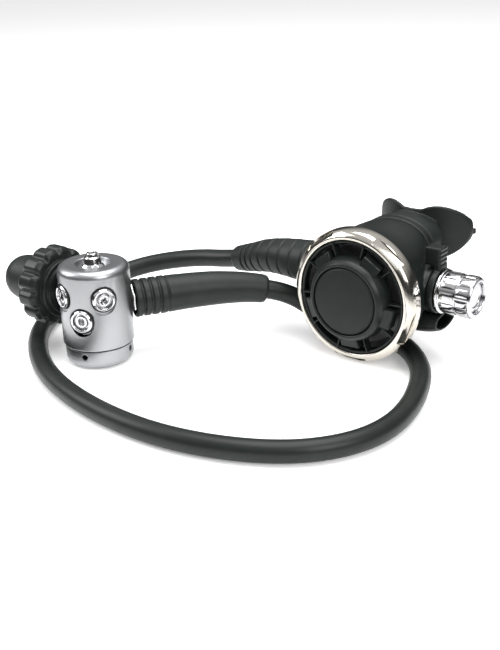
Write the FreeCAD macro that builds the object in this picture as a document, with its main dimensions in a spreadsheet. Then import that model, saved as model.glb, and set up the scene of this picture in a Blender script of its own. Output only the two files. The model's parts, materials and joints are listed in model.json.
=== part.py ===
"""A scuba regulator set: first stage with its cylinder connector, hose, and second stage.

Frame, in millimetres: the origin is the middle of the first stage's flat base, +Z is up, +X runs
along the second stage's valve barrel towards the adjusting knob, and +Y runs from the second
stage's cover to its mouthpiece.  Turned pieces are drawn upright about their own axis, as
(radius, height) outlines, and then placed.
"""
import FreeCAD
import Part

import math
import os

import Sketcher
from FreeCAD import Placement, Rotation, Vector

SIZES = {
    # First stage, stood on its flat base
    "body_radius": 20.4,
    "body_top": 58.6,
    "body_round": 4.3,
    "seam_height": 12.1,
    "seam_gap": 0.8,
    "cap_radius": 19.4,
    "cap_round": 5.0,
    "cap_floor": 2.5,
    "cap_chamber_radius": 13.2,
    "cap_spigot_radius": 17.4,
    "cap_spigot_length": 3.2,
    "spanner_hole_radius": 1.75,
    "spanner_hole_height": 8.2,
    "spanner_hole_bearing": -70,
    "diaphragm_thick": 1.0,
    "chamber_radius": 13.5,
    "chamber_height": 3.0,
    "pin_radius": 1.1,
    "seat_bore": 1.7,
    "seat_radius": 4.9,
    "seat_height": 3.0,
    "seat_level": 26.0,
    "high_chamber_radius": 5.2,
    "crater_radius": 10.0,
    "crater_depth": 3.2,
    "top_thread_radius": 6.2,
    "top_thread_length": 8.0,
    "top_head_radius": 4.9,
    "top_head_height": 5.8,
    "top_socket": 2.7,
    "spring_wire": 1.3,
    "spring_radius": 9.6,
    "adjuster_height": 3.2,
    "spring_pad_height": 2.2,
    "lifter_radius": 9.0,
    "poppet_radius": 2.6,
    # Ports round the first stage
    "port_hole_radius": 4.85,
    "port_hole_depth": 8.5,
    "port_face": 18.9,
    "port_face_radius": 8.0,
    "upper_port_height": 42.6,
    "lower_port_height": 30.2,
    "hose_port_height": 33.4,
    "plug_radius": 5.9,
    "plug_height": 2.6,
    "plug_rim": 1.0,
    "plug_boss_radius": 3.5,
    "plug_recess": 1.6,
    "plug_socket": 2.5,
    "thread_clearance": 0.1,
    "seal_wire": 0.7,
    # Cylinder connector
    "connector_height": 38.0,
    "connector_face": 17.6,
    "bolt_thread_radius": 7.8,
    "bolt_collar_radius": 11.2,
    "bolt_radius": 8.3,
    "bolt_bore": 2.4,
    "bolt_tip": 57.0,
    "post_radius": 11.45,
    "post_start": 29.5,
    "post_end": 59.5,
    "wheel_radius": 23.5,
    "wheel_inner": 27.2,
    "wheel_outer": 42.0,
    "wheel_hub_radius": 17.2,
    "wheel_hub_start": 22.4,
    "wheel_lobes": 13,
    "wheel_notch_radius": 3.1,
    "dust_cap_radius": 14.4,
    "dust_cap_neck_radius": 12.8,
    "dust_cap_tip": 77.5,
    "dust_cap_wall": 2.0,
    "running_gap": 0.3,
    # Hose and what is on it
    "hose_radius": 5.75,
    "hose_bore": 2.6,
    "hose_bearing": 58.0,
    "hose_start": 28.0,
    "fitting_flats": 15.0,
    "fitting_length": 5.0,
    "ferrule_radius": 7.4,
    "ferrule_length": 15.0,
    "sleeve_start": 26.0,
    "sleeve_length": 78.0,
    "sleeve_radius": 11.1,
    "sleeve_tip_radius": 8.4,
    "sleeve_ring_pitch": 5.0,
    "sleeve_ring_groove": 0.9,
    "boot_length": 69.0,
    "boot_radius": 14.0,
    "boot_tip_radius": 8.3,
    "boot_collar": 7.0,
    "boot_rib_pitch": 6.8,
    "boot_groove": 1.3,
    # Second stage: middle of the front ring's lip plane, then sizes about the ring's axis
    "second_x": 122.3,
    "second_y": 76.3,
    "ring_radius": 38.9,
    "ring_front_radius": 38.3,
    "ring_window_radius": 32.9,
    "ring_lip_radius": 34.9,
    "ring_depth": 11.0,
    "ring_lip_thick": 3.4,
    "ring_flat_inset": 2.9,
    "ring_flat_depth": 6.4,
    "cover_flange_radius": 34.7,
    "cover_flange_thick": 2.0,
    "cover_wall": 1.6,
    "hub_radius": 26.6,
    "hub_well_radius": 19.8,
    "hub_rise": 7.0,
    "hub_floor": 1.4,
    "lobe_radius": 28.8,
    "lobe_sweep": 28.0,
    "spoke_thick": 1.2,
    "spoke_first": -50.0,
    "button_radius": 19.4,
    "button_crown": 1.5,
    "button_depth": 3.6,
    "button_stem_radius": 3.6,
    "sheet_thick": 0.8,
    "sheet_depth": 10.4,
    "plate_radius": 12.0,
    "plate_thick": 0.9,
    # Second stage housing
    "housing_radius": 37.4,
    "housing_wall": 2.0,
    "neck_half_width": 22.5,
    "neck_half_height": 14.2,
    "neck_rise": 20.5,
    "neck_depth": 46.0,
    "spigot_depth": 56.0,
    "spigot_wall": 2.2,
    "barrel_depth": 30.0,
    "barrel_rise": 4.0,
    "boss_radius": 13.0,
    "boss_left": -37.6,
    "boss_right": 36.8,
    "journal_radius": 11.0,
    "journal_right": 41.7,
    "barrel_radius": 8.9,
    "barrel_bore": 7.0,
    "stud_radius": 6.9,
    "stud_length": 6.4,
    "knob_start": 42.0,
    "knob_length": 20.6,
    "knob_radius": 12.0,
    "knob_pad_depth": 0.8,
    "knob_pads": 11,
    "knob_slot_width": 2.3,
    "knob_recess_radius": 8.8,
    "knob_recess_depth": 3.0,
    "spindle_radius": 4.4,
    "airflow_ring_radius": 13.2,
    "airflow_tab_top": 25.0,
    "airflow_tab_start": 31.6,
    "airflow_tab_width": 9.0,
    "nut_flats": 20.0,
    "nut_length": 10.5,
    # Exhaust and mouthpiece
    "exhaust_port_radius": 8.2,
    "exhaust_depth": 34.0,
    "exhaust_drop": 14.0,
    "exhaust_tilt": 27.0,
    "tee_reach": 42.0,
    "tee_wall": 1.8,
    "mouth_tube_wall": 2.6,
    "mouth_tube_end": 66.0,
    "shield_arc_radius": 34.3,
    "shield_arc_depth": 100.3,
    "shield_thick": 2.6,
    "shield_half_width": 30.0,
    "shield_lobe_radius": 16.0,
    "shield_lobe_offset": 14.5,
    "bite_inner_radius": 21.5,
    "bite_thick": 3.6,
    "bite_flange_height": 13.0,
    "tie_depth": 49.0,
    "tie_width": 3.0,
    "tie_groove": 1.0,
}

doc = FreeCAD.newDocument("RegulatorSet")
sheet = doc.addObject("Spreadsheet::Sheet", "Sizes")
for row, (alias, number) in enumerate(SIZES.items(), start=1):
    sheet.set(f"A{row}", alias)
    sheet.set(f"B{row}", str(number))
    sheet.setAlias(f"B{row}", alias)
doc.recompute()


class Size:
    """A length or angle that carries both its number and the sheet expression it comes from."""

    def __init__(self, number, text):
        self.number = float(number)
        self.text = text

    def __float__(self):
        return self.number

    def __add__(self, other):
        return Size(self.number + float(other), f"({self.text} + {wording(other)})")

    def __radd__(self, other):
        return Size(float(other) + self.number, f"({wording(other)} + {self.text})")

    def __sub__(self, other):
        return Size(self.number - float(other), f"({self.text} - {wording(other)})")

    def __rsub__(self, other):
        return Size(float(other) - self.number, f"({wording(other)} - {self.text})")

    def __mul__(self, other):
        return Size(self.number * float(other), f"({self.text} * {wording(other)})")

    __rmul__ = __mul__

    def __truediv__(self, other):
        return Size(self.number / float(other), f"({self.text} / {wording(other)})")

    def __neg__(self):
        return Size(-self.number, f"(0 - {self.text})")


class SheetSizes:
    """Reads each size of the sheet by its alias."""

    def __getattr__(self, alias):
        return Size(sheet.get(alias), f"Sizes.{alias}")


size = SheetSizes()


def wording(quantity):
    """The text of a quantity inside an expression."""
    return quantity.text if isinstance(quantity, Size) else repr(float(quantity))


def bind(thing, **properties):
    """Set properties, and tie those given as sizes to the sheet."""
    for name, quantity in properties.items():
        if isinstance(quantity, Size):
            setattr(thing, name, float(quantity))
            thing.setExpression(name, quantity.text)
        else:
            setattr(thing, name, quantity)
    return thing


def place(thing, x=0.0, y=0.0, z=0.0, turn=Rotation()):
    """Place an object, with each coordinate tied to the sheet where it is a size."""
    thing.Placement = Placement(Vector(float(x), float(y), float(z)), turn)
    for axis, quantity in (("x", x), ("y", y), ("z", z)):
        if isinstance(quantity, Size):
            thing.setExpression(f"Placement.Base.{axis}", quantity.text)
    return thing


# How upright pieces turn to lie along their real axes
REARWARD = Rotation(Vector(1, 0, 0), -90)
RIGHTWARD = Rotation(Vector(0, 1, 0), 90)
LEFTWARD = Rotation(Vector(0, 1, 0), -90)

RING_HEIGHT = size.ring_radius
BARREL_Y = size.second_y + size.barrel_depth
BARREL_Z = RING_HEIGHT + size.barrel_rise


def outward(bearing):
    """Turn an upright piece to point level, away from the first stage, on a bearing from +X."""
    return Rotation(Vector(0, 0, 1), float(bearing)) * RIGHTWARD


def on_second_stage(thing):
    """Place a piece drawn about the front ring's axis."""
    return place(thing, size.second_x, size.second_y, RING_HEIGHT, REARWARD)


def on_barrel(thing, roll=0.0):
    """Place a piece drawn about the valve barrel's axis, with heights measured towards the knob."""
    turn = RIGHTWARD * Rotation(Vector(0, 0, 1), roll)
    return place(thing, size.second_x, BARREL_Y, BARREL_Z, turn)


def on_connector(thing):
    """Place a piece drawn about the cylinder connector's axis."""
    return place(thing, 0, 0, size.connector_height, LEFTWARD)


PIECES = []


def piece(label, thing):
    """Keep an object as one of the finished pieces, under its own label."""
    thing.Label = label
    PIECES.append(thing)
    return thing


def primitive(kind, name, **properties):
    """A Part primitive with its sizes tied to the sheet."""
    return bind(doc.addObject(f"Part::{kind}", name), **properties)


def rod(name, radius, height, **where):
    """An upright cylinder."""
    made = primitive("Cylinder", name, Radius=radius, Height=height)
    return place(made, **where)


def block(name, length, width, height, **where):
    """A box centred on its X and Y, standing on its Z."""
    made = primitive("Box", name, Length=length, Width=width, Height=height)
    corner_x = where.get("x", 0.0) - length * 0.5
    corner_y = where.get("y", 0.0) - width * 0.5
    return place(made, corner_x, corner_y, where.get("z", 0.0))


def hexagon(name, flats, height, **where):
    """An upright hexagonal prism, sized across its flats."""
    circumradius = flats * 0.5 * (1 / math.cos(math.radians(30)))
    made = primitive("Prism", name, Polygon=6, Circumradius=circumradius, Height=height)
    return place(made, **where)


def joined(name, members):
    """The union of several objects."""
    made = doc.addObject("Part::MultiFuse", name)
    made.Shapes = members
    return made


def chained(name, members):
    """The union of several objects, made one at a time."""
    made = members[0]
    for number, member in enumerate(members[1:]):
        step = doc.addObject("Part::Fuse", f"{name}_{number}")
        step.Base = made
        step.Tool = member
        made = step
    return made


def common(name, members):
    """What several objects share."""
    made = doc.addObject("Part::MultiCommon", name)
    made.Shapes = members
    return made


def cut(name, base, tools):
    """An object less one or more others."""
    made = doc.addObject("Part::Cut", name)
    made.Base = base
    made.Tool = tools[0] if len(tools) == 1 else joined(f"{name}_tools", tools)
    return made


def group(name, members):
    """Alike pieces kept together as separate solids."""
    made = doc.addObject("Part::Compound", name)
    made.Links = members
    return made


def softened(outline):
    """Replace each rounded corner (x, y, radius, "round") by its two ends and the arc between."""
    points = []
    count = len(outline)
    for index, point in enumerate(outline):
        if len(point) < 4 or point[3] != "round":
            points.append(point)
            continue
        x, y, radius, _ = point
        before = outline[index - 1]
        after = outline[(index + 1) % count]
        in_x, in_y = heading(before, point)
        out_x, out_y = heading(point, after)
        side = 1 if in_x * out_y - in_y * out_x > 0 else -1
        points.append((x - radius * in_x, y - radius * in_y))
        points.append((x + radius * out_x, y + radius * out_y, radius, side))
    return points


def heading(start, end):
    """The direction of a level or upright edge, as a whole-number step."""
    run = float(end[0]) - float(start[0])
    rise = float(end[1]) - float(start[1])
    return (0, int(math.copysign(1, rise))) if abs(rise) > abs(run) else (int(math.copysign(1, run)), 0)


def arc_through(start, end, radius, side):
    """The short arc of a radius between two points; side is 1 when its centre lies to the left."""
    chord = end - start
    half = chord.Length / 2
    middle = (start + end) * 0.5
    left = Vector(-chord.y, chord.x, 0).normalize()
    centre = middle + left * (side * math.sqrt(max(radius ** 2 - half ** 2, 0.0)))
    bulge = middle - centre
    if bulge.Length < 1e-9:
        bulge = left * -side
    return Part.Arc(start, centre + bulge.normalize() * radius, end)


def outline_sketch(body, plane, outline):
    """Draw a closed outline in a body's plane, each point and radius tied to the sheet."""
    sketch = body.newObject("Sketcher::SketchObject", f"{body.Name}_outline")
    origin_plane = next(item for item in body.Origin.OriginFeatures if item.Role == plane)
    sketch.AttachmentSupport = [(origin_plane, "")]
    sketch.MapMode = "FlatFace"
    points = softened(outline)
    count = len(points)
    spots = [Vector(float(point[0]), float(point[1]), 0) for point in points]
    ends = []
    for index in range(count):
        start, end = spots[index], spots[(index + 1) % count]
        target = points[(index + 1) % count]
        if len(target) == 4:
            edge = arc_through(start, end, float(target[2]), target[3])
            number = sketch.addGeometry(edge)
            forward = sketch.Geometry[number].StartPoint.distanceToPoint(start) < 1e-6
            ends.append((number, 1, 2) if forward else (number, 2, 1))
            limit = sketch.addConstraint(Sketcher.Constraint("Radius", number, float(target[2])))
            sketch.setExpression(f"Constraints[{limit}]", wording(target[2]))
        else:
            number = sketch.addGeometry(Part.LineSegment(start, end))
            ends.append((number, 1, 2))
    for index in range(count):
        number, _, finish = ends[index]
        following, begin, _ = ends[(index + 1) % count]
        sketch.addConstraint(Sketcher.Constraint("Coincident", number, finish, following, begin))
    for (number, begin, _), point in zip(ends, points):
        for kind, quantity in (("DistanceX", point[0]), ("DistanceY", point[1])):
            limit = sketch.addConstraint(
                Sketcher.Constraint(kind, -1, 1, number, begin, float(quantity)))
            sketch.setExpression(f"Constraints[{limit}]", wording(quantity))
    return sketch


def turned(name, outline):
    """A body turned about its own Z axis from an outline of (radius, height) points."""
    body = doc.addObject("PartDesign::Body", name)
    sketch = outline_sketch(body, "XZ_Plane", outline)
    spin = body.newObject("PartDesign::Revolution", f"{name}_spin")
    spin.Profile = (sketch, [""])
    spin.ReferenceAxis = (sketch, ["V_Axis"])
    spin.Angle = 360
    return body


def slab(name, outline, width):
    """A body of an outline in the XZ plane, padded evenly to both sides."""
    body = doc.addObject("PartDesign::Body", name)
    sketch = outline_sketch(body, "XZ_Plane", outline)
    pad = body.newObject("PartDesign::Pad", f"{name}_pad")
    pad.Profile = (sketch, [""])
    pad.Midplane = True
    bind(pad, Length=width)
    return body


def seal(name, radius, **where):
    """An O-ring about the Z axis."""
    made = primitive("Torus", name, Radius1=radius, Radius2=size.seal_wire)
    return place(made, **where)


def oval(name, half_x, half_y, x=0.0, y=0.0, z=0.0):
    """An ellipse lying level at a height."""
    wide = float(half_x) >= float(half_y)
    long_half, short_half = (half_x, half_y) if wide else (half_y, half_x)
    made = primitive("Ellipse", name, MajorRadius=long_half, MinorRadius=short_half)
    turn = Rotation() if wide else Rotation(Vector(0, 0, 1), 90)
    return place(made, x, y, z, turn)


def lofted(name, sections):
    """A smooth solid through a row of closed sections."""
    made = doc.addObject("Part::Loft", name)
    made.Sections = sections
    made.Solid = True
    made.Ruled = False
    return made


def coil(radius, wire, height, turns, base):
    """An open coil spring: one unbroken wire on arcs of a half turn split in two."""
    rise = (height - 2 * wire) / turns
    steps = 2 * turns
    pitch_per_radian = rise / (2 * math.pi)

    def spot(angle):
        return Vector(radius * math.cos(angle), radius * math.sin(angle),
                      base + wire + pitch_per_radian * angle)

    def course(angle):
        return Vector(-radius * math.sin(angle), radius * math.cos(angle),
                      pitch_per_radian).normalize()

    edges = []
    for step in range(steps):
        first, last = math.pi * step, math.pi * (step + 1)
        edges += biarc(spot(first), course(first), spot(last), course(last))
    path = Part.Wire(edges)
    ring = Part.Wire([Part.makeCircle(wire, spot(0), course(0))])
    return path.makePipeShell([ring], True, False)


def biarc(start, leaving, end, arriving):
    """Two arcs that join two points and are tangent to their directions."""
    span = end - start
    total = leaving + arriving
    square = total.dot(total) - 4
    cross = span.dot(total)
    reach = (cross - math.sqrt(cross ** 2 - square * span.dot(span))) / square
    middle = (start + leaving * reach + end - arriving * reach) * 0.5
    return [tangent_arc(start, start + leaving * reach, middle),
            tangent_arc(middle, end - arriving * reach, end)]


def tangent_arc(start, corner, end):
    """The arc that is tangent to both sides of a corner with equal arms."""
    middle = (start + end) * 0.5
    towards = corner - middle
    half = start.distanceToPoint(middle)
    sagitta = half * math.tan(math.atan2(towards.Length, half) / 2)
    return Part.Arc(start, middle + towards.normalize() * sagitta, end).toShape()


# First stage
def first_stage():
    """The pressure body, its end cap, plugs and the valve train inside."""
    seam_top = size.seam_height + size.seam_gap
    spigot_top = size.seam_height + size.cap_spigot_length
    chamber_floor = spigot_top + size.diaphragm_thick
    chamber_top = chamber_floor + size.chamber_height
    seat_top = size.seat_level + size.seat_height
    thread_floor = size.body_top - size.crater_depth - size.top_thread_length
    crater_floor = size.body_top - size.crater_depth
    fit = size.thread_clearance

    core = turned("first_stage_core", [
        (size.cap_spigot_radius + fit, size.seam_height),
        (size.body_radius - 0.6, size.seam_height),
        (size.body_radius, size.seam_height + 0.6),
        (size.body_radius, size.body_top, size.body_round, "round"),
        (size.crater_radius, size.body_top),
        (size.crater_radius - 1.6, crater_floor),
        (size.top_thread_radius + fit, crater_floor),
        (size.top_thread_radius + fit, thread_floor),
        (size.high_chamber_radius, thread_floor),
        (size.high_chamber_radius, size.seat_level),
        (size.pin_radius + 0.6, size.seat_level),
        (size.pin_radius + 0.6, chamber_top),
        (size.chamber_radius, chamber_top),
        (size.chamber_radius, chamber_floor),
        (size.cap_spigot_radius + fit, chamber_floor),
    ])
    cutters = []
    for number, (bearing, height) in enumerate(PORTS):
        cutters.append(port_cut(f"port_{number}", bearing, height))
    turn = outward(180)
    cutters.append(place(rod("connector_spotface", size.bolt_collar_radius + 0.6, 10.0),
                         -size.connector_face, 0, size.connector_height, turn))
    cutters.append(place(rod("connector_bore", size.bolt_thread_radius + fit, size.port_hole_depth),
                         size.port_hole_depth - size.connector_face, 0, size.connector_height, turn))
    piece("first_stage_body", cut("first_stage_cut", core, cutters))

    cap = turned("end_cap_turning", [
        (0.0, 0.0),
        (size.cap_radius, 0.0, size.cap_round, "round"),
        (size.cap_radius, size.seam_height - size.seam_gap),
        (size.cap_spigot_radius, size.seam_height - size.seam_gap),
        (size.cap_spigot_radius, spigot_top),
        (size.cap_chamber_radius, spigot_top),
        (size.cap_chamber_radius, size.cap_floor),
        (0.0, size.cap_floor),
    ])
    holes = []
    for number in range(4):
        bearing = float(size.spanner_hole_bearing) + 90 * number
        depth = size.cap_radius - size.cap_chamber_radius + 2
        start = size.cap_chamber_radius - 1
        holes.append(radial_rod(f"spanner_hole_{number}", size.spanner_hole_radius, depth, start,
                                bearing, size.spanner_hole_height))
    piece("end_cap", cut("end_cap_cut", cap, holes))

    piece("first_stage_diaphragm", rod("first_diaphragm", size.cap_spigot_radius,
                                       size.diaphragm_thick, z=spigot_top))
    adjuster = turned("adjuster_turning", [
        (5.0, size.cap_floor),
        (size.cap_chamber_radius - fit, size.cap_floor),
        (size.cap_chamber_radius - fit, size.cap_floor + size.adjuster_height),
        (5.0, size.cap_floor + size.adjuster_height),
    ])
    piece("spring_adjuster", adjuster)
    spring_base = size.cap_floor + size.adjuster_height
    spring_height = spigot_top - size.spring_pad_height - spring_base
    add_coil("main_spring", size.spring_radius, size.spring_wire, spring_height, 2, spring_base)
    piece("spring_pad", rod("spring_pad_disc", size.spring_radius + 2.4, size.spring_pad_height,
                            z=spigot_top - size.spring_pad_height))
    piece("lifter", turned("lifter_turning", [
        (0.0, chamber_floor),
        (size.lifter_radius, chamber_floor),
        (size.lifter_radius, chamber_floor + 1.0),
        (size.pin_radius, chamber_floor + 1.0),
        (size.pin_radius, seat_top - 0.1),
        (0.0, seat_top - 0.1),
    ]))
    piece("high_pressure_seat", turned("seat_turning", [
        (size.seat_bore, size.seat_level),
        (size.seat_radius, size.seat_level),
        (size.seat_radius, seat_top - 0.8),
        (size.seat_bore + 1.2, seat_top - 0.8),
        (size.seat_bore + 0.6, seat_top),
        (size.seat_bore, seat_top),
    ]))
    poppet_top = seat_top + 9.0
    piece("high_pressure_poppet", turned("high_poppet_turning", [
        (0.0, seat_top),
        (size.poppet_radius, seat_top),
        (size.poppet_radius, seat_top + 3.0),
        (size.poppet_radius + 1.6, seat_top + 3.0),
        (size.poppet_radius + 1.6, seat_top + 4.2),
        (1.6, seat_top + 4.2),
        (1.6, poppet_top),
        (0.0, poppet_top),
    ]))
    add_coil("high_poppet_spring", size.poppet_radius + 0.6, 0.45,
             thread_floor - seat_top - 4.2, 5, seat_top + 4.2)
    head_top = crater_floor + size.top_head_height
    top = turned("top_plug_turning", [
        (0.0, thread_floor),
        (size.top_thread_radius, thread_floor),
        (size.top_thread_radius, crater_floor),
        (size.top_head_radius + 1.9, crater_floor),
        (size.top_head_radius + 1.9, crater_floor + 1.0),
        (size.top_head_radius + 0.3, crater_floor + 1.6),
        (size.top_head_radius, head_top - 0.6),
        (size.top_head_radius - 0.6, head_top),
        (0.0, head_top),
    ])
    socket = hexagon("top_plug_socket", size.top_socket * 2, 4.0, z=head_top - 3.4)
    piece("top_plug", cut("top_plug_cut", top, [socket]))
    port_plugs()


# Bearings from +X and heights of the ports: four plugged, and the hose's
PORTS = [
    (-30, size.upper_port_height),
    (-69, size.lower_port_height),
    (-108, size.upper_port_height),
    (108, size.upper_port_height),
    (float(size.hose_bearing), size.hose_port_height),
]
PLUGGED = 4


def radial_rod(name, radius, depth, start, bearing, height):
    """A cylinder that points level out of the first stage, from a distance off its axis."""
    angle = math.radians(bearing)
    made = rod(name, radius, depth)
    return place(made, start * math.cos(angle), start * math.sin(angle), height, outward(bearing))


def port_cut(name, bearing, height):
    """A threaded hole with its spot-faced flat, scalloped a little below."""
    hole_floor = size.port_face - size.port_hole_depth
    hole = radial_rod(f"{name}_hole", size.port_hole_radius, size.port_hole_depth + 0.1, hole_floor,
                      bearing, height)
    flat = radial_rod(f"{name}_flat", size.port_face_radius, 6.0, size.port_face, bearing, height)
    scallop = radial_rod(f"{name}_scallop", size.port_face_radius - 1.2, 6.0, size.port_face,
                         bearing, height - 2.2)
    feed = radial_rod(f"{name}_feed", size.pin_radius + 0.5, hole_floor + 0.1, 0.0, bearing, height)
    return joined(f"{name}_cut", [hole, flat, scallop, feed])


def port_plugs():
    """The chrome plugs in the unused ports, each with its O-ring."""
    plugs = []
    seals = []
    for number, (bearing, height) in enumerate(PORTS[:PLUGGED]):
        shank = size.port_hole_radius - size.thread_clearance
        plug = turned(f"plug_{number}", [
            (0.0, 1.0 - size.port_hole_depth),
            (shank, 1.0 - size.port_hole_depth),
            (shank, 0.0),
            (size.plug_radius, 0.0),
            (size.plug_radius, size.plug_height - 0.5),
            (size.plug_radius - 0.5, size.plug_height),
            (size.plug_radius - size.plug_rim, size.plug_height),
            (size.plug_radius - size.plug_rim, size.plug_height - size.plug_recess),
            (size.plug_boss_radius, size.plug_height - size.plug_recess),
            (size.plug_boss_radius - 0.3, size.plug_height - 0.2),
            (0.0, size.plug_height - 0.2),
        ])
        socket = hexagon(f"plug_socket_{number}", size.plug_socket * 2, 6.0,
                         z=size.plug_height - 4.4)
        made = cut(f"port_plug_{number}", plug, [socket])
        ring = seal(f"plug_seal_{number}", size.plug_radius + size.seal_wire + 0.05)
        angle = math.radians(bearing)
        for thing, stand in ((made, size.port_face), (ring, size.port_face + size.seal_wire)):
            place(thing, stand * math.cos(angle), stand * math.sin(angle), height, outward(bearing))
        plugs.append(made)
        seals.append(ring)
    piece("port_plugs", group("port_plug_group", plugs))
    piece("port_plug_o_rings", group("port_seal_group", seals))


def add_coil(label, radius, wire, height, turns, base, seat=None):
    """A coil spring kept as a piece, its sizes read from the sheet."""
    made = doc.addObject("Part::Feature", f"{label}_coil")
    made.Shape = coil(float(radius), float(wire), float(height), turns, float(base))
    if seat:
        seat(made)
    return piece(label, made)


# Cylinder connector
def connector():
    """The screw-in cylinder connection, its handwheel and its dust cap."""
    gap = size.running_gap
    piece("connector_bolt", on_connector(turned("bolt_turning", [
        (size.bolt_bore, size.connector_face - size.port_hole_depth + 0.5),
        (size.bolt_thread_radius, size.connector_face - size.port_hole_depth + 0.5),
        (size.bolt_thread_radius, size.connector_face),
        (size.bolt_collar_radius, size.connector_face),
        (size.bolt_collar_radius, size.wheel_hub_start - gap),
        (size.bolt_radius, size.wheel_hub_start - gap),
        (size.bolt_radius, size.bolt_tip - 1.4),
        (size.bolt_radius - 0.8, size.bolt_tip - 1.4),
        (size.bolt_radius - 0.8, size.bolt_tip),
        (6.0, size.bolt_tip),
        (6.0, size.bolt_tip - 3.0),
        (size.bolt_bore, size.bolt_tip - 3.0),
    ])))
    piece("connector_o_ring", on_connector_at(
        seal("connector_seal", size.bolt_radius - 0.1), size.bolt_tip - size.seal_wire))
    piece("connector_filter", on_connector_at(rod("filter_disc", 5.9, 1.6), size.bolt_tip - 3.0))
    piece("connector_post", on_connector(turned("post_turning", [
        (size.bolt_radius + gap, size.post_start),
        (size.post_radius, size.post_start),
        (size.post_radius, size.post_end - 1.2),
        (size.post_radius - 1.2, size.post_end),
        (size.bolt_radius + 1.2, size.post_end),
        (size.bolt_radius + 1.2, size.bolt_tip - 4.0),
        (size.bolt_radius + gap, size.bolt_tip - 4.0),
    ])))
    wheel = turned("wheel_turning", [
        (size.bolt_radius + gap, size.wheel_hub_start),
        (size.wheel_hub_radius - 2.6, size.wheel_hub_start),
        (size.wheel_hub_radius - 2.6, size.wheel_hub_start + 1.8),
        (size.wheel_hub_radius, size.wheel_hub_start + 1.8),
        (size.wheel_hub_radius, size.wheel_inner),
        (size.wheel_radius - 2.2, size.wheel_inner),
        (size.wheel_radius, size.wheel_inner + 2.2),
        (size.wheel_radius, size.wheel_outer - 2.6),
        (size.wheel_radius - 2.6, size.wheel_outer),
        (size.post_radius, size.wheel_outer),
        (size.post_radius, size.post_start),
        (size.bolt_radius + gap, size.post_start),
    ])
    notch = wheel.newObject("Sketcher::SketchObject", "wheel_notch_sketch")
    plane = next(item for item in wheel.Origin.OriginFeatures if item.Role == "XY_Plane")
    notch.AttachmentSupport = [(plane, "")]
    notch.MapMode = "FlatFace"
    reach = size.wheel_radius + size.wheel_notch_radius * 0.45
    circle = notch.addGeometry(Part.Circle(Vector(float(reach), 0, 0), Vector(0, 0, 1),
                                           float(size.wheel_notch_radius)))
    radius = notch.addConstraint(
        Sketcher.Constraint("Radius", circle, float(size.wheel_notch_radius)))
    notch.setExpression(f"Constraints[{radius}]", size.wheel_notch_radius.text)
    across = notch.addConstraint(
        Sketcher.Constraint("DistanceX", -1, 1, circle, 3, float(reach)))
    notch.setExpression(f"Constraints[{across}]", reach.text)
    notch.addConstraint(Sketcher.Constraint("PointOnObject", circle, 3, -1))
    pocket = wheel.newObject("PartDesign::Pocket", "wheel_notch")
    pocket.Profile = (notch, [""])
    pocket.Type = 1
    pocket.Reversed = True
    pattern = wheel.newObject("PartDesign::PolarPattern", "wheel_notches")
    pattern.Originals = [pocket]
    pattern.Axis = (notch, ["N_Axis"])
    pattern.Angle = 360
    bind(pattern, Occurrences=int(float(size.wheel_lobes)))
    pattern.setExpression("Occurrences", size.wheel_lobes.text)
    wheel.Tip = pattern
    piece("handwheel", on_connector(wheel))

    cap_start = size.wheel_outer + gap
    bore = size.post_radius + gap
    piece("dust_cap", on_connector(turned("dust_cap_turning", [
        (bore, cap_start),
        (size.dust_cap_radius, cap_start),
        (size.dust_cap_radius, cap_start + 4.0),
        (size.dust_cap_radius - 0.8, cap_start + 5.0),
        (size.dust_cap_neck_radius, size.dust_cap_tip - 13.0),
        (4.0, size.dust_cap_tip, size.dust_cap_neck_radius + 1.6, 1),
        (0.0, size.dust_cap_tip),
        (0.0, size.post_end + gap + 0.4),
        (bore, size.post_end + gap + 0.4),
    ])))


def on_connector_at(thing, distance):
    """Place a piece on the connector's axis at a distance from the first stage's axis."""
    return place(thing, -distance, 0, size.connector_height, LEFTWARD)


# Hose: route points of its centre line, chosen by hand from the first stage to the second
HOSE_ROUTE = [
    (40.3, 61.8, 32.0), (54.8, 79.6, 28.0), (69.0, 95.3, 20.4),
    (82.9, 104.7, 11.6), (98.4, 110.6, 7.3), (115.0, 111.8, 5.75), (131.2, 108.6, 5.75),
    (145.9, 101.3, 5.75), (158.2, 90.2, 5.75), (168.8, 75.8, 5.75), (177.0, 57.5, 5.75),
    (183.0, 37.5, 5.75), (185.5, 17.0, 5.75), (182.5, -2.5, 5.75), (173.5, -20.0, 5.75),
    (159.5, -34.5, 5.75), (141.0, -45.5, 5.75), (119.5, -53.3, 5.75), (97.0, -57.6, 5.75),
    (73.0, -58.2, 5.75), (48.5, -55.6, 5.75), (25.0, -50.2, 5.75), (3.0, -42.2, 5.75),
    (-17.0, -31.0, 5.75), (-34.5, -17.5, 5.75), (-49.5, -2.0, 5.75), (-61.0, 16.0, 5.9),
    (-67.8, 35.5, 7.6), (-68.8, 56.0, 11.0), (-63.0, 75.5, 15.5), (-50.5, 92.0, 20.5),
    (-33.5, 103.5, 25.0), (-14.0, 109.0, 29.3), (8.0, 110.3, 32.9), (30.0, 109.0, 38.0),
]
ARC_SHARE = 0.45
HOSE_FERRULE_AT = -52.0


def hose_points():
    """The whole route: square out of the first fitting, and square into the last."""
    angle = math.radians(float(size.hose_bearing))
    start = float(size.hose_start)
    last_x = float(size.second_x) + HOSE_FERRULE_AT
    first = Vector(start * math.cos(angle), start * math.sin(angle), float(size.hose_port_height))
    second = first + Vector(math.cos(angle), math.sin(angle), 0) * 22.0
    middle = [Vector(*point) for point in HOSE_ROUTE]
    last = Vector(last_x, float(BARREL_Y), float(BARREL_Z))
    return [first, second] + middle + [last - Vector(20.0, 0, 0), last]


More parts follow.
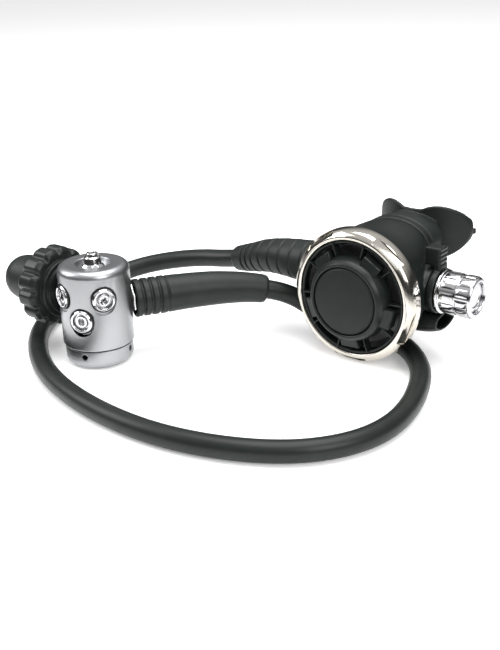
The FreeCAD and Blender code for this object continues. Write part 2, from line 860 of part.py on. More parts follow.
def hose_edges(points):
    """Straight runs joined by tangent arcs, and each arc's radius."""
    edges = []
    radii = []
    last = points[0]
    for before, corner, after in zip(points, points[1:], points[2:]):
        arriving = (corner - before)
        leaving = (after - corner)
        arm = ARC_SHARE * min(arriving.Length, leaving.Length)
        arriving.normalize()
        leaving.normalize()
        turn = arriving.getAngle(leaving)
        radii.append(arm / math.tan(turn / 2))
        enter, leave = corner - arriving * arm, corner + leaving * arm
        edges.append(Part.LineSegment(last, enter).toShape())
        edges.append(tangent_arc(enter, corner, leave))
        last = leave
    edges.append(Part.LineSegment(last, points[-1]).toShape())
    return edges, radii


def station(edges, distance):
    """The point and direction at a distance along the route, straight on past its ends."""
    if distance < 0:
        start = edges[0].Vertexes[0].Point
        course = edges[0].tangentAt(edges[0].FirstParameter)
        return start + course * distance, course
    left = distance
    for edge in edges:
        if left <= edge.Length:
            where = edge.getParameterByLength(left)
            return edge.valueAt(where), edge.tangentAt(where)
        left -= edge.Length
    course = edges[-1].tangentAt(edges[-1].LastParameter)
    return edges[-1].valueAt(edges[-1].LastParameter) + course * left, course


def ring_section(edges, distance, radius):
    """A circle square to the route."""
    spot, course = station(edges, distance)
    return Part.Wire([Part.makeCircle(radius, spot, course)])


def sleeve_solid(edges, profile, bore):
    """A moulded sleeve along the route: an outline of (distance, radius), less its stepped bore."""
    outside = Part.makeLoft([ring_section(edges, along, radius) for along, radius in profile],
                            True, True)
    inside = Part.makeLoft([ring_section(edges, along, radius) for along, radius in bore],
                           True, True)
    return outside.cut(inside)


def keep_shape(label, shape):
    """Keep a shape made from the route as a piece."""
    made = doc.addObject("Part::Feature", f"{label}_shape")
    made.Shape = shape
    return piece(label, made)


def hose():
    """The low-pressure hose with its fittings, protector sleeve and ribbed boot."""
    points = hose_points()
    edges, radii = hose_edges(points)
    path = Part.Wire(edges)
    radius = float(size.hose_radius)
    start, course = station(edges, 0)
    section = Part.Wire([Part.makeCircle(radius, start, course)])
    tube = path.makePipeShell([section], True, False)
    expected = math.pi * radius ** 2 * path.Length
    print(f"hose length {path.Length:.1f} mm, volume off by {tube.Volume / expected - 1:.4%}")
    print("hose arc radii", [round(value) for value in radii], "least", round(min(radii), 1))
    keep_shape("hose", tube)

    # Protector sleeve: four moulded rings, then a smooth taper
    lead = float(size.sleeve_start) - float(size.hose_start)
    profile = []
    groove = float(size.sleeve_ring_groove)
    full = float(size.sleeve_radius)
    pitch = float(size.sleeve_ring_pitch)
    for ring in range(4):
        base = lead + ring * pitch
        profile += [(base, full - groove), (base + 0.5, full), (base + pitch - 1.4, full),
                    (base + pitch - 0.9, full - groove)]
    reach = lead + float(size.sleeve_length)
    tip = float(size.sleeve_tip_radius)
    smooth = lead + 4 * pitch
    profile += [(smooth + 0.2, full - 0.2), (smooth + 0.45 * (reach - smooth), full - 1.0),
                (reach - 2.0, tip), (reach - 0.5, tip - 0.5), (reach, tip - 1.3)]
    throat = float(size.hose_radius) + 0.25
    wide = float(size.ferrule_radius) + 0.3
    ferrule_end = float(size.ferrule_length)
    bore = [(lead - 1, wide), (8.0, wide), (12.0, wide), (ferrule_end + 1.0, wide)]
    bore += even_bore(ferrule_end + 1.1, reach + 1, throat)
    keep_shape("hose_sleeve", sleeve_solid(edges, profile, bore))

    # Ribbed boot at the second stage, its ribs shrinking with the taper
    backwards, _ = hose_edges(points[::-1])
    boot_lead = HOSE_FERRULE_AT - float(size.boss_left - size.running_gap)
    profile = boot_profile(boot_lead)
    nut_wide = float(size.nut_flats) / 2 / math.cos(math.radians(30)) + 0.2
    nut_reach = boot_lead + float(size.nut_length) + 2.6
    bore = [(boot_lead - 1, nut_wide), (nut_reach, nut_wide), (nut_reach + 0.1, wide),
            (8.0, wide), (12.0, wide), (ferrule_end + 1.0, wide)]
    bore += even_bore(ferrule_end + 1.1, boot_lead + float(size.boot_length) + 1, throat)
    keep_shape("hose_boot", sleeve_solid(backwards, profile, bore))

    hose_fitting()


def even_bore(start, end, radius):
    """Stations of one radius, about 5 mm apart."""
    steps = math.ceil((end - start) / 5.0)
    return [(start + (end - start) * step / steps, radius) for step in range(steps + 1)]


def boot_profile(lead):
    """The boot's outline: a collar, then ribs on a taper."""
    full = float(size.boot_radius)
    tip = float(size.boot_tip_radius)
    pitch = float(size.boot_rib_pitch)
    groove = float(size.boot_groove)
    collar = float(size.boot_collar)
    length = float(size.boot_length)
    profile = [(lead, full - 0.6), (lead + 0.6, full), (lead + collar - 0.8, full)]
    ribs = int((length - collar - 3.0) // pitch)
    for rib in range(ribs):
        base = lead + collar + rib * pitch
        crest = full + (tip - full) * (base - lead) / length
        profile += [(base, crest - groove), (base + 1.4, crest - groove),
                    (base + 2.0, crest), (base + pitch - 0.6, crest)]
    profile += [(lead + length - 1.2, tip), (lead + length, tip - 0.8)]
    return profile


def hose_fitting():
    """The crimped fittings at both ends of the hose."""
    fit = size.thread_clearance
    bearing = float(size.hose_bearing)
    angle = math.radians(bearing)

    def on_port(thing, stand=size.port_face):
        return place(thing, stand * math.cos(angle), stand * math.sin(angle),
                     size.hose_port_height, outward(bearing))

    collar = size.hose_start - size.port_face
    stem = turned("hose_stem_turning", [
        (size.hose_bore - 0.6, 1.0 - size.port_hole_depth),
        (size.port_hole_radius - fit, 1.0 - size.port_hole_depth),
        (size.port_hole_radius - fit, 0.0),
        (size.ferrule_radius - 0.9, 0.0),
        (size.ferrule_radius - 0.9, collar - 1.2),
        (size.ferrule_radius, collar - 1.2),
        (size.ferrule_radius, collar + size.ferrule_length),
        (size.hose_radius + 0.25, collar + size.ferrule_length),
        (size.hose_radius + 0.25, collar),
        (size.hose_bore - 0.6, collar),
    ])
    flats = hexagon("hose_hex", size.fitting_flats, size.fitting_length, z=1.7)
    bore = rod("hose_hex_bore", size.ferrule_radius - 1.2, size.fitting_length + 1, z=1.2)
    nut = cut("hose_hex_cut", flats, [bore])
    piece("hose_fitting", on_port(joined("hose_fitting_join", [stem, nut])))
    piece("hose_fitting_o_ring", on_port(seal("hose_seal", size.ferrule_radius - 0.1),
                                         size.port_face + size.seal_wire))

    stud_end = size.boss_left - size.stud_length
    nut_start = stud_end - size.nut_length + size.stud_length - 0.6
    swivel = hexagon("swivel_hex", size.nut_flats, size.nut_length, z=nut_start)
    bore = rod("swivel_bore", size.stud_radius + fit, size.nut_length + 2, z=nut_start - 1)
    piece("swivel_nut", on_barrel(cut("swivel_nut_cut", swivel, [bore])))
    floor = size.boss_left + (HOSE_FERRULE_AT + 37.6)
    piece("hose_ferrule", on_barrel(turned("ferrule_turning", [
        (size.hose_bore - 0.6, stud_end - 0.1),
        (size.stud_radius - 0.3, stud_end - 0.1),
        (size.stud_radius - 0.3, nut_start - 0.2),
        (size.ferrule_radius, nut_start - 0.2),
        (size.ferrule_radius, floor - size.ferrule_length),
        (size.hose_radius + 0.25, floor - size.ferrule_length),
        (size.hose_radius + 0.25, floor),
        (size.hose_bore - 0.6, floor),
    ])))


# Second stage
def front():
    """The ring, cover, purge button and diaphragm stack, drawn about the ring's axis."""
    lip = size.ring_lip_thick
    ring = turned("ring_turning", [
        (size.ring_window_radius, 0.9),
        (size.ring_window_radius + 0.7, 0.0),
        (size.ring_window_radius + 2.2, 0.0),
        (size.ring_front_radius, 3.0, 4.2, 1),
        (size.ring_radius, 7.6, 9.0, 1),
        (size.ring_radius, size.ring_depth - 1.0),
        (size.ring_radius - 0.8, size.ring_depth),
        (size.ring_lip_radius, size.ring_depth),
        (size.ring_lip_radius, lip),
        (size.ring_window_radius, lip),
    ])
    flats = []
    for number in range(5):
        clock = 36 + 72 * number
        reach = size.ring_radius - size.ring_flat_inset
        flat = block(f"ring_flat_{number}", 50.0, 20.0, size.ring_flat_depth)
        angle = math.radians(clock - 90)
        spin = Rotation(Vector(0, 0, 1), clock)
        outer = spin.multVec(Vector(-25.0, -20.0, 0))
        place(flat, reach * math.cos(angle) + outer.x, reach * math.sin(angle) + outer.y, -1.0, spin)
        flats.append(flat)
    piece("retaining_ring", on_second_stage(cut("ring_cut", ring, flats)))

    cover()
    stroke_gap = size.running_gap
    crown = -size.hub_rise
    stem_end = size.sheet_depth - stroke_gap
    piece("purge_button", on_second_stage(turned("button_turning", [
        (0.0, crown - size.button_crown),
        (size.button_radius - 1.0, crown, 118.0, 1),
        (size.button_radius, crown + 1.0),
        (size.button_radius, crown + size.button_depth),
        (size.button_stem_radius + 1.4, crown + size.button_depth),
        (size.button_stem_radius, crown + size.button_depth + 1.2),
        (size.button_stem_radius, stem_end),
        (0.0, stem_end),
    ])))

    bead = lip + size.cover_flange_thick
    edge = size.ring_lip_radius - 0.2
    piece("demand_diaphragm", on_second_stage(turned("sheet_turning", [
        (edge - 3.0, bead),
        (edge, bead),
        (edge, bead + 1.2),
        (edge - 3.6, bead + 1.2),
        (edge - 6.2, size.sheet_depth + size.sheet_thick),
        (size.plate_radius + 0.3, size.sheet_depth + size.sheet_thick),
        (size.plate_radius + 0.3, size.sheet_depth),
        (edge - 5.6, size.sheet_depth),
    ])))
    piece("diaphragm_plate", on_second_stage(turned("plate_turning", [
        (0.0, size.sheet_depth),
        (size.plate_radius, size.sheet_depth),
        (size.plate_radius, size.sheet_depth + size.plate_thick),
        (0.0, size.sheet_depth + size.plate_thick),
    ])))


def cover():
    """The front cover: flange, scalloped hub, and ten thin spokes over open vents."""
    lip = size.ring_lip_thick
    back = lip + size.cover_flange_thick
    outer = size.ring_window_radius - 0.2
    inner = outer - size.cover_wall
    rim = turned("cover_rim", [
        (inner, 1.4),
        (inner + 0.6, 0.8),
        (outer, 0.8),
        (outer, lip),
        (size.cover_flange_radius, lip),
        (size.cover_flange_radius, back),
        (inner, back),
    ])
    crown = -size.hub_rise
    hub = turned("cover_hub", [
        (size.hub_well_radius, crown + 0.4),
        (size.hub_well_radius + 0.5, crown),
        (size.hub_well_radius + 1.2, crown),
        (size.hub_radius - 2.4, crown * 0.42),
        (size.hub_radius, -0.4),
        (size.hub_radius, back - 1.0),
        (size.hub_radius - 2.0, back - 1.0),
        (size.hub_well_radius + 1.8, back - 1.0),
        (size.hub_well_radius + 1.8, size.hub_floor + 1.4),
        (size.button_stem_radius + 1.0, size.hub_floor + 1.4),
        (size.button_stem_radius + 1.0, size.hub_floor),
        (size.hub_well_radius, size.hub_floor),
    ])
    members = [rim, hub]
    for number in range(10):
        clock = float(size.spoke_first) + 36 * number
        spoke = block(f"cover_spoke_{number}", size.spoke_thick, inner - size.hub_radius + 1.6,
                      back - 1.0 + 1.2)
        spin = Rotation(Vector(0, 0, 1), clock)
        outer_corner = spin.multVec(Vector(-float(size.spoke_thick) / 2, 0, 0))
        reach = inner + 0.8
        angle = math.radians(clock - 90)
        place(spoke, reach * math.cos(angle) + outer_corner.x,
              reach * math.sin(angle) + outer_corner.y, -1.2, spin)
        members.append(spoke)
    for number in range(5):
        start = float(size.spoke_first) + 36 * (1 + 2 * number) + 18 - float(size.lobe_sweep) / 2 - 90
        lobe = primitive("Cylinder", f"cover_lobe_{number}", Radius=size.lobe_radius,
                         Height=back - 1.0 - 0.2, Angle=size.lobe_sweep)
        core = rod(f"cover_lobe_core_{number}", size.hub_radius - 1.0, 12.0, z=-4.0)
        place(lobe, z=0.2, turn=Rotation(Vector(0, 0, 1), start))
        members.append(cut(f"cover_lobe_cut_{number}", lobe, [core]))
    piece("front_cover", on_second_stage(joined("cover_join", members)))


def housing_sections(front, back):
    """The housing's sections: depth behind the ring's lip, half width, half height and rise."""
    full = size.housing_radius
    return [
        (front, full, full, 0.0),
        (22.0, full - 1.9, full - 3.5, 2.0),
        (34.0, 30.0, 25.5, 10.0),
        (back, size.neck_half_width, size.neck_half_height, size.neck_rise),
    ]


def loft_along(name, sections, grow):
    """A smooth form through ovals set along the ring's axis; a rise goes up."""
    ovals = []
    for number, (depth, half_width, half_height, rise) in enumerate(sections):
        ovals.append(oval(f"{name}_{number}", half_width + grow, half_height + grow,
                          y=0.0 - rise, z=depth))
    return lofted(name, ovals)


def bowl_outside(name, grow):
    """The housing's outer form behind the ring."""
    return loft_along(name, housing_sections(size.ring_depth + 0.1, size.neck_depth), grow)


def housing():
    """The moulded second-stage housing: hollow bowl, oval neck, barrel boss and exhaust port."""
    wall = size.housing_wall
    outside = bowl_outside("bowl_outer", 0.0)
    rim_front = size.ring_lip_thick + size.cover_flange_thick + 1.2
    rim = turned("housing_rim", [
        (size.ring_lip_radius - 3.4, rim_front),
        (size.ring_lip_radius - 0.1, rim_front),
        (size.ring_lip_radius - 0.1, size.ring_depth + 1.0),
        (size.ring_lip_radius - 3.4, size.ring_depth + 1.0),
    ])
    spigot_width = size.neck_half_width - 2.4
    spigot_height = size.neck_half_height - 2.4
    spigot = loft_along("spigot_outer", [
        (size.neck_depth - 1.0, spigot_width, spigot_height, size.neck_rise),
        (size.spigot_depth, spigot_width, spigot_height, size.neck_rise)], 0.0)
    boss = rod("boss_outer", size.boss_radius, size.boss_right - size.boss_left)
    across(boss, size.boss_left)
    journal = rod("journal_outer", size.journal_radius, size.journal_right - size.boss_right + 1)
    across(journal, size.boss_right - 1.0)
    exhaust = exhaust_rod("exhaust_boss", size.exhaust_port_radius + 2.0, 8.5, -6.0)

    inside = [
        loft_along("bowl_inner", housing_sections(size.ring_depth + wall,
                                                  size.neck_depth - wall), -wall),
        rod("bowl_mouth", size.ring_lip_radius - 3.4, 9.0, z=size.ring_depth - 2.0),
        loft_along("spigot_inner", [
            (size.neck_depth - 3.0, spigot_width - size.spigot_wall,
             spigot_height - size.spigot_wall, size.neck_rise),
            (size.spigot_depth + 1.0, spigot_width - size.spigot_wall,
             spigot_height - size.spigot_wall, size.neck_rise)], 0.0),
        across(rod("barrel_bore", size.barrel_radius + 0.1,
                   size.journal_right - size.boss_left + 4.0), size.boss_left - 2.0),
        exhaust_rod("exhaust_opening", size.exhaust_port_radius - 1.2, 20.0, -12.0),
    ]
    solid = chained("housing_outer", [outside, rim, spigot, boss, journal, exhaust])
    piece("second_stage_housing", on_second_stage(cut("housing_cut", solid, inside)))


def across(thing, start):
    """Lay an upright piece along the barrel, inside the ring's frame."""
    return place(thing, start, 0.0 - size.barrel_rise, size.barrel_depth,
                 Rotation(Vector(0, 1, 0), 90))


def exhaust_turn():
    """The exhaust port's direction: backwards and tilted down."""
    return Rotation(Vector(1, 0, 0), -float(size.exhaust_tilt))


def exhaust_rod(name, radius, height, start):
    """A cylinder about the exhaust port's axis, in the ring's frame."""
    tilt = math.radians(float(size.exhaust_tilt))
    made = rod(name, radius, height)
    return place(made, 0, size.exhaust_drop + start * math.sin(tilt),
                 size.exhaust_depth + start * math.cos(tilt), exhaust_turn())


def valve():
    """Everything on the barrel's axis, from the hose stud to the adjusting knob."""
    piece("valve_barrel", on_barrel(barrel_solid()))
    seat_at = -16.0
    piece("inlet_orifice", on_barrel(turned("orifice_turning", [
        (2.2, seat_at - 7.0),
        (size.barrel_bore - 0.05, seat_at - 7.0),
        (size.barrel_bore - 0.05, seat_at - 3.0),
        (4.0, seat_at - 2.0),
        (2.8, seat_at),
        (2.2, seat_at),
    ])))
    piece("poppet_seat", on_barrel(rod("poppet_seat_disc", 4.0, 1.8), 0.0))
    shift_on_barrel(PIECES[-1], seat_at)
    piece("demand_poppet", on_barrel(turned("poppet_turning", [
        (0.0, seat_at + 1.8),
        (4.8, seat_at + 1.8),
        (4.8, seat_at + 4.0),
        (2.4, seat_at + 4.0),
        (2.4, 10.0),
        (4.0, 10.0),
        (4.0, 11.4),
        (1.5, 11.4),
        (1.5, 16.0),
        (0.0, 16.0),
    ])))
    add_coil("demand_poppet_spring", 3.0, 0.5, 8.7, 5, 11.4, on_barrel)
    head = size.knob_start + size.knob_length - size.knob_recess_depth - 3.0
    piece("adjusting_spindle", on_barrel(turned("spindle_turning", [
        (0.0, 21.0),
        (size.barrel_bore - 0.1, 21.0),
        (size.barrel_bore - 0.1, 26.0),
        (size.spindle_radius, 26.0),
        (size.spindle_radius, head),
        (0.0, head),
    ])))
    piece("spindle_o_ring", on_barrel(primitive("Torus", "spindle_seal",
                                                Radius1=(size.barrel_bore + size.spindle_radius) / 2,
                                                Radius2=(size.barrel_bore - size.spindle_radius) / 2)))
    shift_on_barrel(PIECES[-1], 27.8)
    knob()
    airflow_lever()
    lever = slab("lever_slab", [
        (-9.0, -2.9),
        (-7.6, -2.9),
        (-7.6, -9.8),
        (8.0, -17.4),
        (15.0, -17.4),
        (15.0, -18.4),
        (7.6, -18.4),
        (-9.0, -10.6),
    ], 6.0)
    piece("demand_lever", place(lever, size.second_x, BARREL_Y, BARREL_Z, REARWARD))


def shift_on_barrel(thing, distance):
    """Slide a placed piece along the barrel to a distance from the ring's axis."""
    return place(thing, size.second_x + distance, BARREL_Y, BARREL_Z, RIGHTWARD)


def barrel_solid():
    """The valve barrel: a tube with a stud for the hose and a window for the lever."""
    tube = turned("barrel_turning", [
        (2.6, size.boss_left - size.stud_length),
        (size.stud_radius, size.boss_left - size.stud_length),
        (size.stud_radius, size.boss_left),
        (size.barrel_radius, size.boss_left),
        (size.barrel_radius, size.journal_right),
        (size.barrel_bore, size.journal_right),
        (size.barrel_bore, -28.0),
        (2.6, -28.0),
    ])
    window = primitive("Box", "barrel_window", Length=9.0, Width=8.0, Height=20.0)
    place(window, -4.5, -11.0, -14.0)
    return cut("barrel_cut", tube, [window])


def knob():
    """The adjusting knob: two staggered rows of raised pads and a recessed end."""
    start = size.knob_start
    end = start + size.knob_length
    groove = start + size.knob_length * 0.55
    low = size.knob_radius - size.knob_pad_depth
    body = turned("knob_turning", [
        (size.spindle_radius + 0.02, start),
        (size.knob_radius + 0.5, start),
        (size.knob_radius + 0.5, start + 1.2),
        (low, start + 1.8),
        (low, start + 2.4),
        (size.knob_radius, start + 2.8),
        (size.knob_radius, groove - 0.7),
        (low, groove - 0.5),
        (low, groove + 0.5),
        (size.knob_radius, groove + 0.7),
        (size.knob_radius, end - 1.8),
        (size.knob_radius - 1.4, end - 0.2, 1.6, 1),
        (size.knob_recess_radius + 0.4, end),
        (size.knob_recess_radius, end - 0.5),
        (size.knob_recess_radius, end - size.knob_recess_depth),
        (size.spindle_radius + 0.02, end - size.knob_recess_depth),
    ])
    slots = []
    count = int(float(size.knob_pads))
    for row, (low_end, high_end) in enumerate(((start + 2.4, groove), (groove, end - 1.8))):
        for number in range(count):
            clock = 360.0 / count * (number + 0.5 * row)
            slot = primitive("Box", f"knob_slot_{row}_{number}", Length=4.0,
                             Width=size.knob_slot_width, Height=high_end - low_end)
            spin = Rotation(Vector(0, 0, 1), clock)
            corner = spin.multVec(Vector(float(low) - 0.25, -float(size.knob_slot_width) / 2, 0))
            place(slot, corner.x, corner.y, low_end, spin)
            slots.append(slot)
    made = cut("knob_cut", body, [group("knob_slots", slots)])
    piece("adjusting_knob", on_barrel(made))
    piece("knob_end_disc", on_barrel(turned("knob_disc_turning", [
        (0.0, end - size.knob_recess_depth - 3.0),
        (size.spindle_radius, end - size.knob_recess_depth - 3.0),
        (size.spindle_radius, end - size.knob_recess_depth),
        (size.knob_recess_radius - 0.6, end - size.knob_recess_depth),
        (size.knob_recess_radius - 0.9, end - size.knob_recess_depth + 1.2),
        (size.knob_recess_radius - 3.0, end - size.knob_recess_depth + 1.2),
        (size.knob_recess_radius - 3.4, end - size.knob_recess_depth + 0.7),
        (0.0, end - size.knob_recess_depth + 0.7),
    ])))


def airflow_lever():
    """The airflow lever: a ring on the boss with a ridged thumb tab standing up from it."""
    gap = size.running_gap
    low = size.boss_right + gap
    high = size.journal_right - 0.4
    ring = turned("airflow_ring", [
        (size.journal_radius + gap * 0.5, low),
        (size.airflow_ring_radius - 0.6, low),
        (size.airflow_ring_radius, low + 0.6),
        (size.airflow_ring_radius, high - 0.6),
        (size.airflow_ring_radius - 0.6, high),
        (size.journal_radius + gap * 0.5, high),
    ])
    shelf = size.airflow_ring_radius + 1.6
    tab = primitive("Box", "airflow_tab", Length=size.airflow_tab_top - shelf,
                    Width=size.airflow_tab_width, Height=high - size.airflow_tab_start)
    place(tab, shelf, 0.0 - size.airflow_tab_width * 0.5, size.airflow_tab_start)
    root = primitive("Box", "airflow_tab_root", Length=4.0, Width=size.airflow_tab_width,
                     Height=high - low)
    place(root, size.journal_radius + 1.0, 0.0 - size.airflow_tab_width * 0.5, low)
    ridges = []
    for number in range(4):
        groove = primitive("Cylinder", f"airflow_groove_{number}", Radius=0.7,
                           Height=size.airflow_tab_width + 2)
        place(groove, shelf + 1.2 + 2.4 * number, -size.airflow_tab_width * 0.5 - 1.0,
              high + 0.1, Rotation(Vector(1, 0, 0), -90))
        ridges.append(groove)
    made = cut("airflow_cut", joined("airflow_join", [ring, tab, root]), ridges)
    turn = RIGHTWARD * Rotation(Vector(0, 0, 1), 180)
    piece("airflow_lever", place(made, size.second_x, BARREL_Y, BARREL_Z, turn))


def exhaust():
    """The exhaust valve and the tee that carries bubbles to both sides."""
    tilt = math.radians(float(size.exhaust_tilt))
    valve_disc = turned("exhaust_valve_turning", [
        (0.0, -2.6),
        (1.4, -2.6),
        (1.4, 0.2),
        (size.exhaust_port_radius + 0.6, 0.2),
        (size.exhaust_port_radius + 0.6, 0.9),
        (2.4, 1.3),
        (0.0, 1.3),
    ])
    stand = 2.5
    place(valve_disc, 0, size.exhaust_drop + stand * math.sin(tilt),
          size.exhaust_depth + stand * math.cos(tilt), exhaust_turn())
    holder = doc.addObject("Part::Compound", "exhaust_valve_holder")
    holder.Links = [valve_disc]
    piece("exhaust_valve", on_second_stage(holder))

    outside = tee_form("tee_outer", 0.0, size.tee_reach)
    inside = tee_form("tee_inner", -size.tee_wall, size.tee_reach + 1.0)
    gap = size.running_gap + 0.1
    clear = size.running_gap * 0.5
    away = [
        inside,
        bowl_outside("tee_bowl_clear", clear),
        across(rod("tee_boss_clear", size.boss_radius + clear,
                   size.boss_right - size.boss_left + 1.0), size.boss_left - 0.5),
        across(rod("tee_boot_clear", size.boot_radius + gap, 12.0), size.boss_left - 12.0),
        across(rod("tee_lever_clear", size.airflow_ring_radius + gap, 12.0), size.boss_right),
        exhaust_rod("tee_port_clear", size.exhaust_port_radius + 2.0 + clear, 30.0, -27.4),
        exhaust_rod("tee_valve_clear", size.exhaust_port_radius + 0.9, 30.0, -25.7),
    ]
    piece("exhaust_tee", on_second_stage(cut("tee_cut", outside, away)))


def tee_form(name, grow, reach):
    """The exhaust tee's tube, swept down and forward towards both ends."""
    stations = [
        (-reach, 34.5, 12.0, 14.7, 5.3),
        (-24.0, 36.0, 12.8, 15.0, 9.6),
        (0.0, 39.0, 14.0, 14.6, 11.0),
        (24.0, 36.0, 12.8, 15.0, 9.6),
        (reach, 34.5, 12.0, 14.7, 5.3),
    ]
    ovals = []
    for number, (side, depth, half_depth, drop, half_height) in enumerate(stations):
        section = primitive("Ellipse", f"{name}_{number}", MajorRadius=half_depth + grow,
                            MinorRadius=half_height + grow)
        turn = Rotation(Vector(0, 1, 0), 90) * Rotation(Vector(0, 0, 1), 0)
        place(section, side, drop, depth, turn)
        ovals.append(section)
    return lofted(name, ovals)


def mouthpiece():
    """The mouthpiece: oval tube, curved lip shield and two bite tabs, and its tie."""
    rise = size.neck_rise
    inner_width = size.neck_half_width - 2.4 + 0.05
    inner_height = size.neck_half_height - 2.4 + 0.05
    grow = size.mouth_tube_wall
    tube = loft_along("mouth_tube", [
        (size.neck_depth + 0.2, inner_width + grow, inner_height + grow, rise),
        (size.spigot_depth, inner_width + grow, inner_height + grow, rise),
        (size.mouth_tube_end + 2.6, inner_width + grow - 2.4, inner_height + grow - 1.6, rise),
    ], 0.0)
    shield = common("shield_common", [shield_shell("shield_shell", size.shield_arc_radius,
                                                   size.shield_thick, 44.0), shield_outline()])
    bites = bite_tabs()
    hollow = loft_along("mouth_hollow", [
        (size.neck_depth - 1.0, inner_width, inner_height, rise),
        (size.spigot_depth + 0.2, inner_width, inner_height, rise)], 0.0)
    throat = loft_along("mouth_throat", [
        (size.spigot_depth, inner_width - size.spigot_wall, inner_height - size.spigot_wall, rise),
        (size.mouth_tube_end + 6.0, inner_width - size.spigot_wall - 1.4,
         inner_height - size.spigot_wall, rise)], 0.0)
    tie_outer = inner_width + grow
    tie_high = inner_height + grow
    groove = cut("tie_groove_cut", loft_along("tie_groove_outer", [
        (size.tie_depth, tie_outer + 1, tie_high + 1, rise),
        (size.tie_depth + size.tie_width, tie_outer + 1, tie_high + 1, rise)], 0.0),
        [loft_along("tie_groove_inner", [
            (size.tie_depth - 1, tie_outer - size.tie_groove, tie_high - size.tie_groove, rise),
            (size.tie_depth + size.tie_width + 1, tie_outer - size.tie_groove,
             tie_high - size.tie_groove, rise)], 0.0)])
    solid = joined("mouth_join", [tube, shield] + bites)
    piece("mouthpiece", on_second_stage(cut("mouth_cut", solid, [hollow, throat, groove])))

    band = cut("tie_cut", loft_along("tie_band", [
        (size.tie_depth + 0.1, tie_outer - 0.2, tie_high - 0.2, rise),
        (size.tie_depth + size.tie_width - 0.1, tie_outer - 0.2, tie_high - 0.2, rise)], 0.0),
        [loft_along("tie_band_bore", [
            (size.tie_depth - 1, tie_outer - size.tie_groove + 0.02,
             tie_high - size.tie_groove + 0.02, rise),
            (size.tie_depth + size.tie_width + 1, tie_outer - size.tie_groove + 0.02,
             tie_high - size.tie_groove + 0.02, rise)], 0.0)])
    piece("mouthpiece_tie", on_second_stage(band))


def upright_rod(name, radius, height, rise):
    """A cylinder standing on the shield's bending axis, its middle at the mouthpiece's height."""
    made = rod(name, radius, height)
    return place(made, 0, 0.0 - rise + height * 0.5, size.shield_arc_depth,
                 Rotation(Vector(1, 0, 0), 90))


def shield_shell(name, radius, thick, height):
    """A curved wall about the bending axis of the lip shield."""
    outer = upright_rod(f"{name}_outer", radius, Size(height, repr(height)), size.neck_rise + 2.0)
    inner = upright_rod(f"{name}_inner", radius - thick, Size(height + 2, repr(height + 2)),
                        size.neck_rise + 2.0)
    return cut(name, outer, [inner])


def shield_outline():
    """The lip shield's outline, seen from the front: two round lobes and a saddle between."""
    centre = size.neck_rise + 1.8
    members = []
    depth = 60.0
    for side in (-1, 1):
        lobe = rod(f"shield_lobe_{side + 1}", size.shield_lobe_radius,
                   size.shield_arc_depth - depth - 12.0)
        place(lobe, size.shield_lobe_offset * side, 0.0 - centre, depth)
        members.append(lobe)
    waist = block("shield_waist", size.shield_lobe_offset * 2, 27.0,
                  size.shield_arc_depth - depth - 12.0, y=0.0 - centre, z=depth)
    members.append(waist)
    return joined("shield_outline", members)


def bite_tabs():
    """Two bite tabs on the shield's arc, each a flat pad with an upright inner flange."""
    pad = bite_ring("bite_pad", size.shield_arc_radius - size.shield_thick + 0.3,
                    size.bite_inner_radius, size.bite_thick)
    flange = bite_ring("bite_flange", size.bite_inner_radius + 2.4, size.bite_inner_radius,
                       size.bite_flange_height)
    both = joined("bite_both", [pad, flange])
    tabs = []
    for side in (-1, 1):
        keep = block(f"bite_keep_{side + 1}", 18.0, 40.0, 26.0, x=side * 21.6,
                     y=0.0 - size.neck_rise, z=66.0)
        tabs.append(common(f"bite_tab_{side + 1}", [both, keep]))
    return tabs


def bite_ring(name, outer, inner, height):
    """A ring about the shield's bending axis."""
    big = upright_rod(f"{name}_outer", outer, height, size.neck_rise)
    small = upright_rod(f"{name}_inner", inner, height + 2.0, size.neck_rise)
    return cut(name, big, [small])


def sound(shape):
    """Whether a shape is valid and solid."""
    return not shape.isNull() and shape.isValid() and bool(shape.Solids)


def check_and_write():
    """Stop if any object failed, then write each finished piece."""
    doc.recompute()
    for thing in doc.Objects:
        if "Invalid" in thing.State or "Error" in thing.State:
            raise RuntimeError(f"{thing.Label} failed: {thing.State}")
    os.makedirs("parts", exist_ok=True)
    failed = [thing.Label for thing in PIECES if not sound(thing.Shape)]
    if failed:
        raise RuntimeError(f"no valid solid: {failed}")
    for thing in PIECES:
        thing.Shape.exportStep(f"parts/{thing.Label}.step")
    print(len(PIECES), "pieces")


first_stage()
connector()
hose()
front()
housing()
valve()
exhaust()
mouthpiece()
check_and_write()
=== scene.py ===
"""The look of a scuba regulator set, built round its fixed frame.

Lengths in the classes are millimetres in the part's own frame: +Z is up, +X runs along the second
stage's barrel to the adjusting knob, and +Y runs from the second stage's cover to its mouthpiece.
"""

import json
import logging
import math
from dataclasses import dataclass, field
from enum import Enum
from typing import Callable, Iterable, Sequence

import bmesh
import bpy
from mathutils import Matrix, Vector


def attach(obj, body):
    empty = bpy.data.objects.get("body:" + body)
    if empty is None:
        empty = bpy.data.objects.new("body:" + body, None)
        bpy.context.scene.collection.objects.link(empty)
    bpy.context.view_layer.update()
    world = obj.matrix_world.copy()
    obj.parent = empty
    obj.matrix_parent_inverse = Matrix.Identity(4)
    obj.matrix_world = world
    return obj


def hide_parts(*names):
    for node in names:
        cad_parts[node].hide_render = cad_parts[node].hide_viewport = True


LOG = logging.getLogger("regulator_set")
MM = 0.001
Point2 = tuple[float, float]
Point3 = tuple[float, float, float]
Colour = tuple[float, float, float]
Shape = bmesh.types.BMesh

